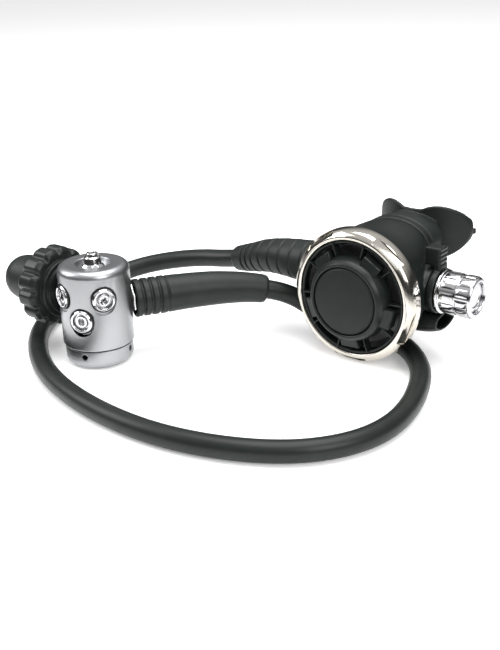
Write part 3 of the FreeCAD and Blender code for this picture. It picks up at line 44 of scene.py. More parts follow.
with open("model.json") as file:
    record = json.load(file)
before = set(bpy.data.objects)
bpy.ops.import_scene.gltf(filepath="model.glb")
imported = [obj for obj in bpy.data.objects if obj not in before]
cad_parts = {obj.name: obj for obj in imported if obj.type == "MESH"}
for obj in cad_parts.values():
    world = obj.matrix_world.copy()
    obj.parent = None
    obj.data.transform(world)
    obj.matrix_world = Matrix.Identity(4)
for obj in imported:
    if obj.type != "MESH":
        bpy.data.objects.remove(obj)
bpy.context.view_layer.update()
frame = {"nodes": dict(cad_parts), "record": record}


class Body(Enum):
    """The groups of pieces that move together."""

    SET = "set"
    HANDWHEEL = "handwheel"
    DUST_CAP = "dust_cap"
    KNOB = "adjusting_knob"
    AIRFLOW = "airflow_lever"
    BUTTON = "purge_button"


class Way(Enum):
    """The directions that turned pieces point in, as turns of an upright piece."""

    UP = Matrix.Identity(4)
    REARWARD = Matrix.Rotation(math.radians(-90), 4, "X")
    RIGHTWARD = Matrix.Rotation(math.radians(90), 4, "Y")
    LEFTWARD = Matrix.Rotation(math.radians(-90), 4, "Y")


def seat(x: float, y: float, z: float, way: Way = Way.UP, bearing: float = 0.0) -> Matrix:
    """Where an upright piece drawn in millimetres goes.

    Args:
        x: Its place along the barrel, in millimetres.
        y: Its place from cover to mouthpiece.
        z: Its height.
        way: The direction that the piece's own axis points in.
        bearing: A further turn about the vertical, in degrees.

    Returns:
        The matrix from the piece's millimetres to the part's metres.
    """
    spin = Matrix.Rotation(math.radians(bearing), 4, "Z")
    place = Matrix.Translation(Vector((x, y, z)) * MM)
    return place @ spin @ way.value @ Matrix.Scale(MM, 4)


SECOND_STAGE = seat(122.3, 76.3, 38.9, Way.REARWARD)
BARREL = seat(122.3, 106.3, 42.9, Way.RIGHTWARD)
CONNECTOR = seat(0.0, 0.0, 38.0, Way.LEFTWARD)


class Wiring:
    """A short way to add nodes to one tree and to join them."""

    def __init__(self, tree: bpy.types.NodeTree) -> None:
        """Keep the tree to work on."""
        self.tree = tree

    def fill(self, node: bpy.types.Node, **settings: object) -> bpy.types.Node:
        """Set a node up.

        Args:
            node: The node.
            settings: Its properties by name, and its inputs as in_NAME or in_NUMBER, each with its
                value or with the output that it is joined to.

        Returns:
            The same node.
        """
        for name, value in settings.items():
            if not name.startswith("in_"):
                setattr(node, name, value)
                continue
            key = name[3:]
            socket = node.inputs[int(key) if key.isdigit() else key.replace("_", " ")]
            if isinstance(value, bpy.types.NodeSocket):
                self.tree.links.new(value, socket)
            else:
                socket.default_value = value
        return node

    def add(self, kind: str, **settings: object) -> bpy.types.Node:
        """Add a node of a kind, and set it up."""
        return self.fill(self.tree.nodes.new(kind), **settings)


def new_tree(name: str, kind: str, entries: dict[str, str],
             exits: dict[str, str]) -> bpy.types.NodeTree:
    """An empty node group, with its inputs and outputs as socket kinds by name."""
    tree = bpy.data.node_groups.new(name, kind)
    for way, sockets in (("INPUT", entries), ("OUTPUT", exits)):
        for label, sort in sockets.items():
            tree.interface.new_socket(label, in_out=way, socket_type=f"NodeSocket{sort}")
    return tree


class SharedGroups:
    """Shader groups that several finishes use, each made once."""

    @staticmethod
    def grain() -> bpy.types.NodeTree:
        """A fine moulded or blasted grain over broad soft unevenness.

        Returns:
            A group with Vector, Fine Scale and Broad Scale in, and Height and Mottle out.
        """
        name = "moulded_grain"
        if name in bpy.data.node_groups:
            return bpy.data.node_groups[name]
        tree = new_tree(name, "ShaderNodeTree",
                        {"Vector": "Vector", "Fine Scale": "Float", "Broad Scale": "Float"},
                        {"Height": "Float", "Mottle": "Float"})
        wires = Wiring(tree)
        entry = wires.add("NodeGroupInput").outputs
        fine = wires.add("ShaderNodeTexNoise", in_Vector=entry["Vector"],
                         in_Scale=entry["Fine Scale"], in_Detail=3.0, in_Roughness=0.6)
        broad = wires.add("ShaderNodeTexNoise", in_Vector=entry["Vector"],
                          in_Scale=entry["Broad Scale"], in_Detail=2.0, in_Roughness=0.5)
        total = wires.add("ShaderNodeMath", operation="MULTIPLY_ADD", in_0=broad.outputs[0],
                          in_1=0.35, in_2=fine.outputs[0])
        wires.add("NodeGroupOutput", in_Height=total.outputs[0], in_Mottle=broad.outputs[0])
        return tree

    @staticmethod
    def handling() -> bpy.types.NodeTree:
        """Faint rub marks and settled dust in soft patches.

        Returns:
            A group with Vector and Amount in, and Rub and Dust out.
        """
        name = "handling_marks"
        if name in bpy.data.node_groups:
            return bpy.data.node_groups[name]
        tree = new_tree(name, "ShaderNodeTree", {"Vector": "Vector", "Amount": "Float"},
                        {"Rub": "Float", "Dust": "Float"})
        wires = Wiring(tree)
        entry = wires.add("NodeGroupInput").outputs
        marks = {}
        for label, scale, detail, distortion, low, high in (
                ("in_Rub", 180.0, 6.0, 1.4, 0.54, 0.72), ("in_Dust", 55.0, 4.0, 0.3, 0.5, 0.85)):
            noise = wires.add("ShaderNodeTexNoise", in_Vector=entry["Vector"], in_Scale=scale,
                              in_Detail=detail, in_Distortion=distortion)
            span = wires.add("ShaderNodeMapRange", in_0=noise.outputs[0], in_1=low, in_2=high)
            share = wires.add("ShaderNodeMath", operation="MULTIPLY", in_0=span.outputs[0],
                              in_1=entry["Amount"])
            marks[label] = share.outputs[0]
        wires.add("NodeGroupOutput", **marks)
        return tree


@dataclass(frozen=True)
class Finish:
    """A surface finish and everything that makes its material.

    Attributes:
        label: The material's name.
        tint: Its base colour.
        second_tint: The colour that its uneven patches lean to.
        roughness: Its mean roughness.
        rough_swing: How far rub marks change the roughness.
        metal: 1 for bare metal, 0 for rubber and plastic.
        grain: Fine grain size, as a noise scale.
        broad: Broad unevenness size, as a noise scale.
        depth: Height of the grain, in millimetres.
        marks: How strong the rub marks and dust are.
        coat: Weight of a clear gloss over it.
        specular: How strongly a dielectric reflects at its middle.
        slot: The record's slot that the finish belongs to.
    """

    label: str
    tint: Colour
    second_tint: Colour
    roughness: float
    rough_swing: float = 0.06
    metal: float = 0.0
    grain: float = 2500.0
    broad: float = 60.0
    depth: float = 0.01
    marks: float = 0.3
    coat: float = 0.0
    specular: float = 0.28
    slot: str = ""

    def material(self) -> bpy.types.Material:
        """The finish's material, made the first time that it is asked for."""
        made = bpy.data.materials.get(self.label)
        if made is not None:
            return made
        made = bpy.data.materials.new(self.label)
        made.use_nodes = True
        made.node_tree.nodes.clear()
        wires = Wiring(made.node_tree)
        place = wires.add("ShaderNodeTexCoord").outputs["Object"]
        grain = wires.add("ShaderNodeGroup", node_tree=SharedGroups.grain(), in_Vector=place,
                          in_Fine_Scale=self.grain, in_Broad_Scale=self.broad).outputs
        marks = wires.add("ShaderNodeGroup", node_tree=SharedGroups.handling(), in_Vector=place,
                          in_Amount=self.marks).outputs
        rough = wires.add("ShaderNodeMapRange", in_0=marks["Rub"], in_3=self.roughness,
                          in_4=min(1.0, self.roughness + self.rough_swing))
        bump = wires.add("ShaderNodeBump", in_Strength=0.6, in_Distance=self.depth * MM,
                         in_Height=grain["Height"])
        surface = wires.add("ShaderNodeBsdfPrincipled", in_Metallic=self.metal,
                            in_Coat_Weight=self.coat, in_Coat_Roughness=0.12,
                            in_Specular_IOR_Level=self.specular, in_Roughness=rough.outputs[0],
                            in_Base_Color=self.colour(wires, grain["Mottle"], marks["Dust"]),
                            in_Normal=bump.outputs[0])
        wires.add("ShaderNodeOutputMaterial", in_Surface=surface.outputs[0])
        return made

    def colour(self, wires: Wiring, mottle: bpy.types.NodeSocket,
               dust: bpy.types.NodeSocket) -> bpy.types.NodeSocket:
        """Mix the two tints by the unevenness, and lay the dust over them.

        Args:
            wires: The material's wiring.
            mottle: How far each place leans to the second tint.
            dust: How much dust lies there.

        Returns:
            The mixed colour.
        """
        body = wires.add("ShaderNodeMix", data_type="RGBA", in_0=mottle, in_6=(*self.tint, 1.0),
                         in_7=(*self.second_tint, 1.0))
        pale = tuple(min(1.0, part * 1.15 + 0.012) for part in self.tint)
        dusty = wires.add("ShaderNodeMix", data_type="RGBA", in_0=dust, in_6=body.outputs[2],
                          in_7=(*pale, 1.0))
        return dusty.outputs[2]


SATIN_METAL = Finish("pearl_satin", (0.345, 0.35, 0.36), (0.40, 0.405, 0.415), 0.35, 0.05, 1.0,
                     grain=5200.0, broad=40.0, depth=0.012, marks=0.35, slot="satin_metal")
BRIGHT_CHROME = Finish("polished_chrome", (0.60, 0.60, 0.615), (0.66, 0.66, 0.67), 0.10, 0.06, 1.0,
                       grain=900.0, broad=30.0, depth=0.0003, marks=0.3, slot="bright_chrome")
STEEL_RING = Finish("polished_ring", (0.58, 0.55, 0.485), (0.64, 0.61, 0.56), 0.12, 0.06, 1.0,
                    grain=1400.0, broad=30.0, depth=0.0005, marks=0.4, slot="steel_ring")
PLAIN_BRASS = Finish("turned_brass", (0.62, 0.46, 0.22), (0.70, 0.54, 0.28), 0.3, metal=1.0,
                     slot="plain_brass")
SPRING_STEEL = Finish("drawn_steel", (0.45, 0.45, 0.46), (0.52, 0.52, 0.52), 0.3, metal=1.0,
                      slot="spring_steel")
BLACK_PLASTIC = Finish("moulded_plastic", (0.0072, 0.0098, 0.0088), (0.0105, 0.0142, 0.0128),
                       0.34, 0.12, grain=3800.0, broad=50.0, depth=0.012, marks=0.4,
                       slot="black_plastic")
SOFT_RUBBER = Finish("moulded_rubber", (0.0092, 0.0126, 0.0108), (0.0135, 0.0182, 0.0158),
                     0.45, 0.12, grain=3000.0, broad=45.0, depth=0.014, marks=0.5,
                     slot="soft_rubber")
BUTTON_RUBBER = Finish("button_rubber", (0.0072, 0.0096, 0.0088), (0.010, 0.0132, 0.012),
                       0.55, 0.1, grain=3400.0, broad=40.0, depth=0.012, marks=0.45,
                       slot="soft_rubber")
HOSE_RUBBER = Finish("drawn_rubber", (0.0078, 0.0102, 0.0092), (0.0115, 0.0148, 0.0134),
                     0.38, 0.12, grain=2600.0, broad=35.0, depth=0.012, marks=0.5,
                     slot="hose_rubber")
SEAL_RUBBER = Finish("ring_rubber", (0.01, 0.01, 0.01), (0.014, 0.014, 0.014), 0.35,
                     slot="seal_rubber")
SILICONE = Finish("grey_silicone", (0.1, 0.1, 0.1), (0.13, 0.13, 0.13), 0.4, slot="clear_silicone")
WHITE_PLASTIC = Finish("pale_plastic", (0.7, 0.7, 0.67), (0.76, 0.76, 0.73), 0.4,
                       slot="white_plastic")

SLOT_FINISH = {finish.slot: finish for finish in (
    SATIN_METAL, BRIGHT_CHROME, STEEL_RING, PLAIN_BRASS, SPRING_STEEL, BLACK_PLASTIC, SOFT_RUBBER,
    HOSE_RUBBER, SEAL_RUBBER, SILICONE, WHITE_PLASTIC)}


def placed(name: str, data: bpy.types.ID) -> bpy.types.Object:
    """A new object, linked into the scene."""
    made = bpy.data.objects.new(name, data)
    bpy.context.scene.collection.objects.link(made)
    return made


def poured(shape: Shape, name: str) -> bpy.types.Mesh:
    """A shape's mesh; the shape itself is freed."""
    data = bpy.data.meshes.new(name)
    shape.to_mesh(data)
    shape.free()
    return data


def evaluated(item: bpy.types.Object) -> bpy.types.Mesh:
    """A plain mesh of an object with its modifiers applied."""
    view = bpy.context.evaluated_depsgraph_get()
    return bpy.data.meshes.new_from_object(item.evaluated_get(view))


def eased(outline: Sequence[Point2], ease: float, steps: int = 4) -> list[Point2]:
    """Round every corner of a closed outline a little.

    Args:
        outline: The corners, in millimetres, as (radius, height).
        ease: How far along each side the rounding starts, at most.
        steps: How many short edges each corner gets.

    Returns:
        The rounded outline's points.
    """
    points: list[Point2] = []
    count = len(outline)
    for index, corner in enumerate(outline):
        before = Vector(outline[index - 1])
        after = Vector(outline[(index + 1) % count])
        spot = Vector(corner)
        if spot.x < 1e-6:
            points.append(corner)
            continue
        back, ahead = before - spot, after - spot
        reach = min(ease, 0.45 * back.length, 0.45 * ahead.length)
        if reach < 0.01 or back.angle(ahead) > math.radians(176):
            points.append(corner)
            continue
        start, end = spot + back.normalized() * reach, spot + ahead.normalized() * reach
        for step in range(steps + 1):
            t = step / steps
            mixed = start * (1 - t) ** 2 + spot * 2 * t * (1 - t) + end * t ** 2
            points.append((mixed.x, mixed.y))
    return points


def arc(centre: Point2, radius: float, start: float, end: float, steps: int = 8) -> list[Point2]:
    """Points on an arc of an outline.

    Args:
        centre: The arc's centre, as (radius, height).
        radius: The arc's own radius.
        start: Its first angle in degrees, from outwards towards up.
        end: Its last angle.
        steps: How many edges it has.

    Returns:
        The points from first to last.
    """
    angles = [math.radians(start + (end - start) * step / steps) for step in range(steps + 1)]
    return [(centre[0] + radius * math.cos(a), centre[1] + radius * math.sin(a)) for a in angles]


class Piece:
    """One visible piece: its mesh, the nodes that it stands for, and its body."""

    def __init__(self, name: str, mesh: Shape, place: Matrix, finish: Finish,
                 body: Body = Body.SET, replaces: Sequence[str] = ()) -> None:
        """Make the object, with its place in its mesh.

        Args:
            name: The object's name.
            mesh: Its shape, in the piece's own millimetres or in the part's metres.
            place: The matrix that takes the shape to the part's metres.
            finish: The finish of its surface.
            body: The group that it moves with.
            replaces: The solids that it is shown in place of.
        """
        mesh.transform(place)
        bmesh.ops.remove_doubles(mesh, verts=mesh.verts, dist=2e-7)
        bmesh.ops.recalc_face_normals(mesh, faces=mesh.faces)
        self.object = placed(name, poured(mesh, name))
        self.finish = finish
        self.body = body
        self.replaces = tuple(replaces)

    def modify(self, kind: str, **settings: object) -> "Piece":
        """Put a modifier on the piece and bake it into the mesh.

        Args:
            kind: The modifier's type name.
            settings: Its properties by name.

        Returns:
            The piece itself.
        """
        modifier = self.object.modifiers.new(kind.lower(), kind)
        for name, value in settings.items():
            setattr(modifier, name, value)
        self.bake()
        return self

    def bake(self) -> None:
        """Turn the evaluated object into a plain mesh without modifiers."""
        data = evaluated(self.object)
        self.object.modifiers.clear()
        old = self.object.data
        self.object.data = data
        bpy.data.meshes.remove(old)

    def cut(self, tools: Iterable[Shape], place: Matrix) -> "Piece":
        """Take other shapes away from the piece.

        Args:
            tools: The shapes to take away, in the piece's own millimetres.
            place: The matrix that takes them to the part's metres.

        Returns:
            The piece itself.
        """
        for shape in tools:
            tool = Piece("cutter", shape, place, self.finish)
            self.modify("BOOLEAN", operation="DIFFERENCE", solver="EXACT", object=tool.object)
            bpy.data.objects.remove(tool.object)
        return self

    def soften(self, width: float, angle: float = 32.0, segments: int = 2) -> "Piece":
        """Round the piece's sharp edges, so that they catch the light.

        Args:
            width: The rounding's width, in millimetres.
            angle: The least angle that counts as an edge, in degrees.
            segments: How many edges the rounding has.

        Returns:
            The piece itself.
        """
        return self.modify("BEVEL", width=width * MM, segments=segments, limit_method="ANGLE",
                           angle_limit=math.radians(angle), use_clamp_overlap=True)

    def settle(self, angle: float = 35.0) -> bpy.types.Object:
        """Shade the piece, dress it, and hand it over to its body.

        Args:
            angle: The angle past which two faces meet in a hard line, in degrees.

        Returns:
            The finished object.
        """
        data = self.object.data
        data.materials.clear()
        data.materials.append(self.finish.material())
        data.polygons.foreach_set("use_smooth", [True] * len(data.polygons))
        data.set_sharp_from_angle(angle=math.radians(angle))
        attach(self.object, self.body.value)
        if self.replaces:
            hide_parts(*self.replaces)
        LOG.info("%s: %d faces", self.object.name, len(data.polygons))
        return self.object


def bridged(shape: Shape, rings: list[list[bmesh.types.BMVert]]) -> Shape:
    """Join each ring of corners to the next, and the last one to the first."""
    for lower, upper in zip(rings, rings[1:] + rings[:1]):
        for step, vert in enumerate(lower):
            following = (step + 1) % len(lower)
            corners = [vert, lower[following], upper[following], upper[step]]
            corners = list(dict.fromkeys(corners))
            if len(corners) > 2:
                shape.faces.new(corners)
    return shape


def lathe(outline: Sequence[Point2], segments: int = 128,
          swell: Callable[[float, float], float] | None = None) -> Shape:
    """Turn a closed outline about its own axis.

    Args:
        outline: The (radius, height) points, in millimetres; those on the axis become poles.
        segments: How many faces go round.
        swell: What to add to a point's radius, from its radius and its angle.

    Returns:
        The closed shape.
    """
    shape = bmesh.new()
    rings = []
    for radius, height in outline:
        if radius < 1e-6:
            rings.append([shape.verts.new((0, 0, height))] * segments)
            continue
        ring = []
        for step in range(segments):
            angle = 2 * math.pi * step / segments
            reach = radius + (swell(radius, angle) if swell else 0.0)
            spot = (reach * math.cos(angle), reach * math.sin(angle), height)
            ring.append(shape.verts.new(spot))
        rings.append(ring)
    return bridged(shape, rings)


def drill(radius: float, low: float, high: float, segments: int = 64) -> Shape:
    """A plain round cutter from one height to another, in millimetres."""
    return lathe([(0, low), (radius, low), (radius, high), (0, high)], segments)


def hexagon_socket(reach: float) -> Callable[[float, float], float]:
    """A change of radius that makes the inmost rings of a turned shape six-sided.

    Args:
        reach: The largest radius that belongs to the socket, in millimetres.

    Returns:
        The function for lathe.
    """
    def squared(radius: float, angle: float) -> float:
        """The change of radius at one point."""
        if radius > reach + 1e-6:
            return 0.0
        turn = math.fmod(angle, math.pi / 3) - math.pi / 6
        return radius * (math.cos(math.pi / 6) / math.cos(turn) - 1.0)
    return squared


def brick(size: Point3, centre: Point3, turn: Matrix | None = None) -> Shape:
    """A box of a length, width and height in millimetres, turned once it is in place."""
    shape = bmesh.new()
    place = Matrix.Translation(centre) @ Matrix.Diagonal((*size, 1))
    bmesh.ops.create_cube(shape, size=1.0, matrix=place)
    if turn is not None:
        shape.transform(turn)
    return shape


class RingRepeat:
    """Geometry Nodes that set copies of a shape round an axis."""

    NAME = "round_the_axis"

    @classmethod
    def tree(cls) -> bpy.types.NodeTree:
        """The node tree, made the first time that it is asked for.

        Returns:
            A tree with Count, Radius, Start Turn, Shape and Finish in.
        """
        if cls.NAME in bpy.data.node_groups:
            return bpy.data.node_groups[cls.NAME]
        tree = new_tree(cls.NAME, "GeometryNodeTree",
                        {"Count": "Int", "Radius": "Float", "Start Turn": "Float",
                         "Shape": "Object", "Finish": "Material"}, {"Geometry": "Geometry"})
        wires = Wiring(tree)
        entry = wires.add("NodeGroupInput").outputs
        index = wires.add("GeometryNodeInputIndex")
        share = wires.add("ShaderNodeMath", operation="DIVIDE", in_0=index.outputs[0],
                          in_1=entry["Count"])
        angle = wires.add("ShaderNodeMath", operation="MULTIPLY_ADD", in_0=share.outputs[0],
                          in_1=2 * math.pi, in_2=entry["Start Turn"])
        reach = []
        for function in ("COSINE", "SINE"):
            wave = wires.add("ShaderNodeMath", operation=function, in_0=angle.outputs[0])
            reach.append(wires.add("ShaderNodeMath", operation="MULTIPLY", in_0=wave.outputs[0],
                                   in_1=entry["Radius"]).outputs[0])
        spot = wires.add("ShaderNodeCombineXYZ", in_0=reach[0], in_1=reach[1])
        spin = wires.add("ShaderNodeCombineXYZ", in_2=angle.outputs[0])
        points = wires.add("GeometryNodePoints", in_Count=entry["Count"],
                           in_Position=spot.outputs[0])
        shape = wires.add("GeometryNodeObjectInfo", in_Object=entry["Shape"])
        copies = wires.add("GeometryNodeInstanceOnPoints", in_Points=points.outputs[0],
                           in_Instance=shape.outputs["Geometry"], in_Rotation=spin.outputs[0])
        real = wires.add("GeometryNodeRealizeInstances", in_0=copies.outputs[0])
        dress = wires.add("GeometryNodeSetMaterial", in_0=real.outputs[0],
                          in_Material=entry["Finish"])
        wires.add("NodeGroupOutput", in_0=dress.outputs[0])
        return tree

    @classmethod
    def shape(cls, unit: Shape, count: int, radius: float, start: float,
              finish: Finish) -> Shape:
        """Copies of a shape that points along +X, set evenly round the axis.

        The first stands at the start angle, in degrees, and all of them take the finish.
        """
        bmesh.ops.recalc_face_normals(unit, faces=unit.faces)
        holder = placed("unit", poured(unit, "unit"))
        base = placed("ring", bpy.data.meshes.new("ring"))
        modifier = base.modifiers.new("round", "NODES")
        modifier.node_group = cls.tree()
        values = {"Count": count, "Radius": radius, "Start Turn": math.radians(start),
                  "Shape": holder, "Finish": finish.material()}
        for item in modifier.node_group.interface.items_tree:
            if item.in_out == "INPUT" and item.name in values:
                modifier[item.identifier] = values[item.name]
        base.update_tag()
        shape = bmesh.new()
        shape.from_mesh(evaluated(base))
        for item in (base, holder):
            bpy.data.objects.remove(item)
        return shape


def merged(*shapes: Shape) -> Shape:
    """Several closed shapes kept in one mesh, without cutting them together."""
    total = bmesh.new()
    for shape in shapes:
        bmesh.ops.recalc_face_normals(shape, faces=shape.faces)
        data = poured(shape, "part")
        total.from_mesh(data)
        bpy.data.meshes.remove(data)
    return total


def solid_copy(node: str) -> Shape:
    """A merged copy of a solid's own mesh, in metres."""
    shape = bmesh.new()
    shape.from_mesh(frame["nodes"][node].data)
    bmesh.ops.remove_doubles(shape, verts=shape.verts, dist=1e-6)
    return shape


def moulded(name: str, node: str, finish: Finish, voxel: float = 0.55, passes: int = 6,
            body: Body = Body.SET) -> Piece:
    """A solid as it comes out of its mould, with every edge softly rounded.

    Args:
        name: The piece's name.
        node: The solid that it follows and is shown in place of.
        finish: Its finish.
        voxel: The remeshing size, in millimetres.
        passes: How many smoothing passes round its edges.
        body: The group that it moves with.

    Returns:
        The piece.
    """
    piece = Piece(name, solid_copy(node), Matrix.Identity(4), finish, body, (node,))
    piece.modify("REMESH", mode="VOXEL", voxel_size=voxel * MM, use_smooth_shade=True)
    piece.modify("SMOOTH", factor=0.5, iterations=passes)
    return piece


@dataclass
class FirstStage:
    """The pressure body with its end cap, plugs and ports."""

    radius: float = 20.4
    seam: float = 12.1
    top: float = 58.6
    shoulder: float = 4.3
    outside: float = 26.0
    port_face: float = 18.9
    port_bore: float = 4.85
    spanner_hole: float = 1.75
    ports: tuple[tuple[float, float], ...] = (
        (-30.0, 42.6), (-69.0, 30.2), (-108.0, 42.6), (108.0, 42.6), (58.0, 33.4))

    def build(self) -> None:
        """Make every visible piece of the first stage."""
        self.body()
        self.end_cap()
        self.top_plug()
        self.port_plugs()

    def body(self) -> None:
        """The turned body with its spot-faced ports."""
        top, edge = self.top, self.top - self.shoulder
        outline = [(17.5, self.seam), (self.radius - 0.5, self.seam),
                   (self.radius, self.seam + 0.6), (self.radius, edge)]
        outline += arc((self.radius - self.shoulder, edge), self.shoulder, 5, 90, 10)
        outline += [(10.4, top), (9.9, top - 0.3), (8.6, top - 3.2), (6.3, top - 3.2),
                    (6.3, top - 11.2), (5.2, top - 11.2), (5.2, 19.3), (13.5, 19.3), (13.5, 16.3),
                    (17.5, 16.3)]
        piece = Piece("pressure_body", lathe(eased(outline, 0.25), 160), seat(0, 0, 0),
                      SATIN_METAL, replaces=("first_stage_body",))
        for bearing, height in self.ports:
            where = seat(0, 0, height, Way.RIGHTWARD, bearing)
            relief = drill(6.8, self.port_face, self.outside)
            relief.transform(Matrix.Translation((2.2, 0, 0)))
            piece.cut([drill(8.0, self.port_face, self.outside),
                       drill(self.port_bore, 10.4, 20, 48), relief], where)
        piece.cut([drill(11.8, 17.6, self.outside, 96), drill(7.9, 9.1, 18)], CONNECTOR)
        piece.soften(0.35, 30, 3).settle(30)

    def end_cap(self) -> None:
        """The spring chamber's cap, with its four spanner holes."""
        outline = [(0, 0), (14.0, 0)]
        outline += arc((14.4, 5.0), 5.0, -88, 0, 10)
        outline += [(19.4, 11.3), (17.4, 11.3), (17.4, 15.3), (13.2, 15.3), (13.2, 2.5), (0, 2.5)]
        piece = Piece("spring_cap", lathe(eased(outline, 0.25), 160), seat(0, 0, 0), SATIN_METAL,
                      replaces=("end_cap",))
        for number in range(4):
            where = seat(0, 0, 8.2, Way.RIGHTWARD, -70 + 90 * number)
            piece.cut([drill(self.spanner_hole, 12.2, 21, 40)], where)
        piece.soften(0.3, 30, 3).settle(30)

    def top_plug(self) -> None:
        """The domed plug in the top, with its hexagon socket."""
        base = self.top - 3.2
        outline = [(0, base - 8), (6.2, base - 8), (6.2, base), (7.6, base), (7.6, base + 0.7),
                   (5.5, base + 3.0), (4.6, base + 6.4), (3.6, base + 6.9), (3.4, base + 8.4),
                   (3.0, base + 9.0), (2.0, base + 9.0), (2.0, base + 6.4), (0, base + 6.4)]
        shape = lathe(eased(outline, 0.3), 96, hexagon_socket(2.0))
        Piece("top_screw", shape, seat(0, 0, 0), BRIGHT_CHROME, replaces=("top_plug",)).settle(30)

    def port_plugs(self) -> None:
        """The four chrome plugs, each with a raised rim and a hexagon socket."""
        outline = [(0, -7.5), (4.75, -7.5), (4.75, 0), (6.6, 0), (6.6, 1.5), (5.9, 2.4), (4.9, 2.2),
                   (4.5, -0.4), (3.7, -0.4), (3.4, 1.6), (2.2, 1.6), (2.2, -1.6), (0, -1.6)]
        outward = Matrix.Translation((0, 0, self.port_face))
        plugs = []
        for bearing, height in self.ports[:4]:
            shape = lathe(eased(outline, 0.22), 96, hexagon_socket(2.2))
            shape.transform(seat(0, 0, height, Way.RIGHTWARD, bearing) @ outward)
            plugs.append(shape)
        Piece("chrome_plugs", merged(*plugs), Matrix.Identity(4), BRIGHT_CHROME,
              replaces=("port_plugs",)).settle(30)


@dataclass
class CylinderConnector:
    """The bolt, lobed handwheel and dust cap on the first stage's side."""

    lobes: int = 13
    lobe_bearing: float = 14.0
    radius: float = 23.5
    root: float = 18.0
    hollow: float = 2.1

    def build(self) -> None:
        """Make the connector's visible pieces."""
        self.bolt()
        self.handwheel()
        self.dust_cap()

    def bolt(self) -> None:
        """The chrome bolt that holds the connector on, with its collar against the body."""
        outline = [(2.4, 9.6), (7.8, 9.6), (7.8, 17.6), (11.2, 17.6), (11.2, 22.1), (8.3, 22.1),
                   (8.3, 55.6), (7.5, 55.6), (7.5, 57.0), (6.0, 57.0), (6.0, 54.0), (2.4, 54.0)]
        Piece("connector_screw", lathe(eased(outline, 0.4), 96), CONNECTOR, BRIGHT_CHROME,
              replaces=("connector_bolt",)).settle()

    def grip(self, radius: float, angle: float) -> float:
        """The change of radius in the hollows between the lobes, as lathe asks for it."""
        if radius < self.root:
            return 0.0
        wave = 0.5 - 0.5 * math.cos(self.lobes * (angle - math.radians(self.lobe_bearing)))
        share = min(1.0, (radius - self.root) / 4.0)
        return -self.hollow * share * wave ** 3.2

    def handwheel(self) -> None:
        """The black handwheel with soft lobes."""
        rim = self.radius
        outline = [(8.6, 22.4), (14.6, 22.4), (14.6, 24.2), (17.2, 24.2), (17.2, 27.2),
                   (18.2, 27.2), (21.2, 27.4), (rim, 29.6), (rim, 32.5), (rim, 36.0),
                   (rim, 39.2), (21.0, 41.8), (18.2, 42.0), (14.6, 42.0), (11.45, 42.0),
                   (11.45, 29.5), (8.6, 29.5)]
        wheel = lathe(eased(outline, 0.9, 5), 24 * self.lobes, self.grip)
        Piece("lobed_wheel", wheel, CONNECTOR, BLACK_PLASTIC, Body.HANDWHEEL,
              ("handwheel",)).settle(50)

    def dust_cap(self) -> None:
        """The soft rubber dust cap over the thread."""
        outline = [(11.75, 42.3), (14.8, 42.3), (14.8, 46.3), (14.2, 47.3), (13.8, 56.0)]
        outline += [(13.5, 59.5), (12.6, 62.8), (10.8, 65.8), (8.2, 68.1), (4.4, 69.5), (0, 69.9)]
        outline += [(0, 60.2), (11.75, 60.2)]
        Piece("rubber_cap", lathe(eased(outline, 0.8, 5), 96), CONNECTOR, SOFT_RUBBER,
              Body.DUST_CAP, ("dust_cap",)).settle(60)


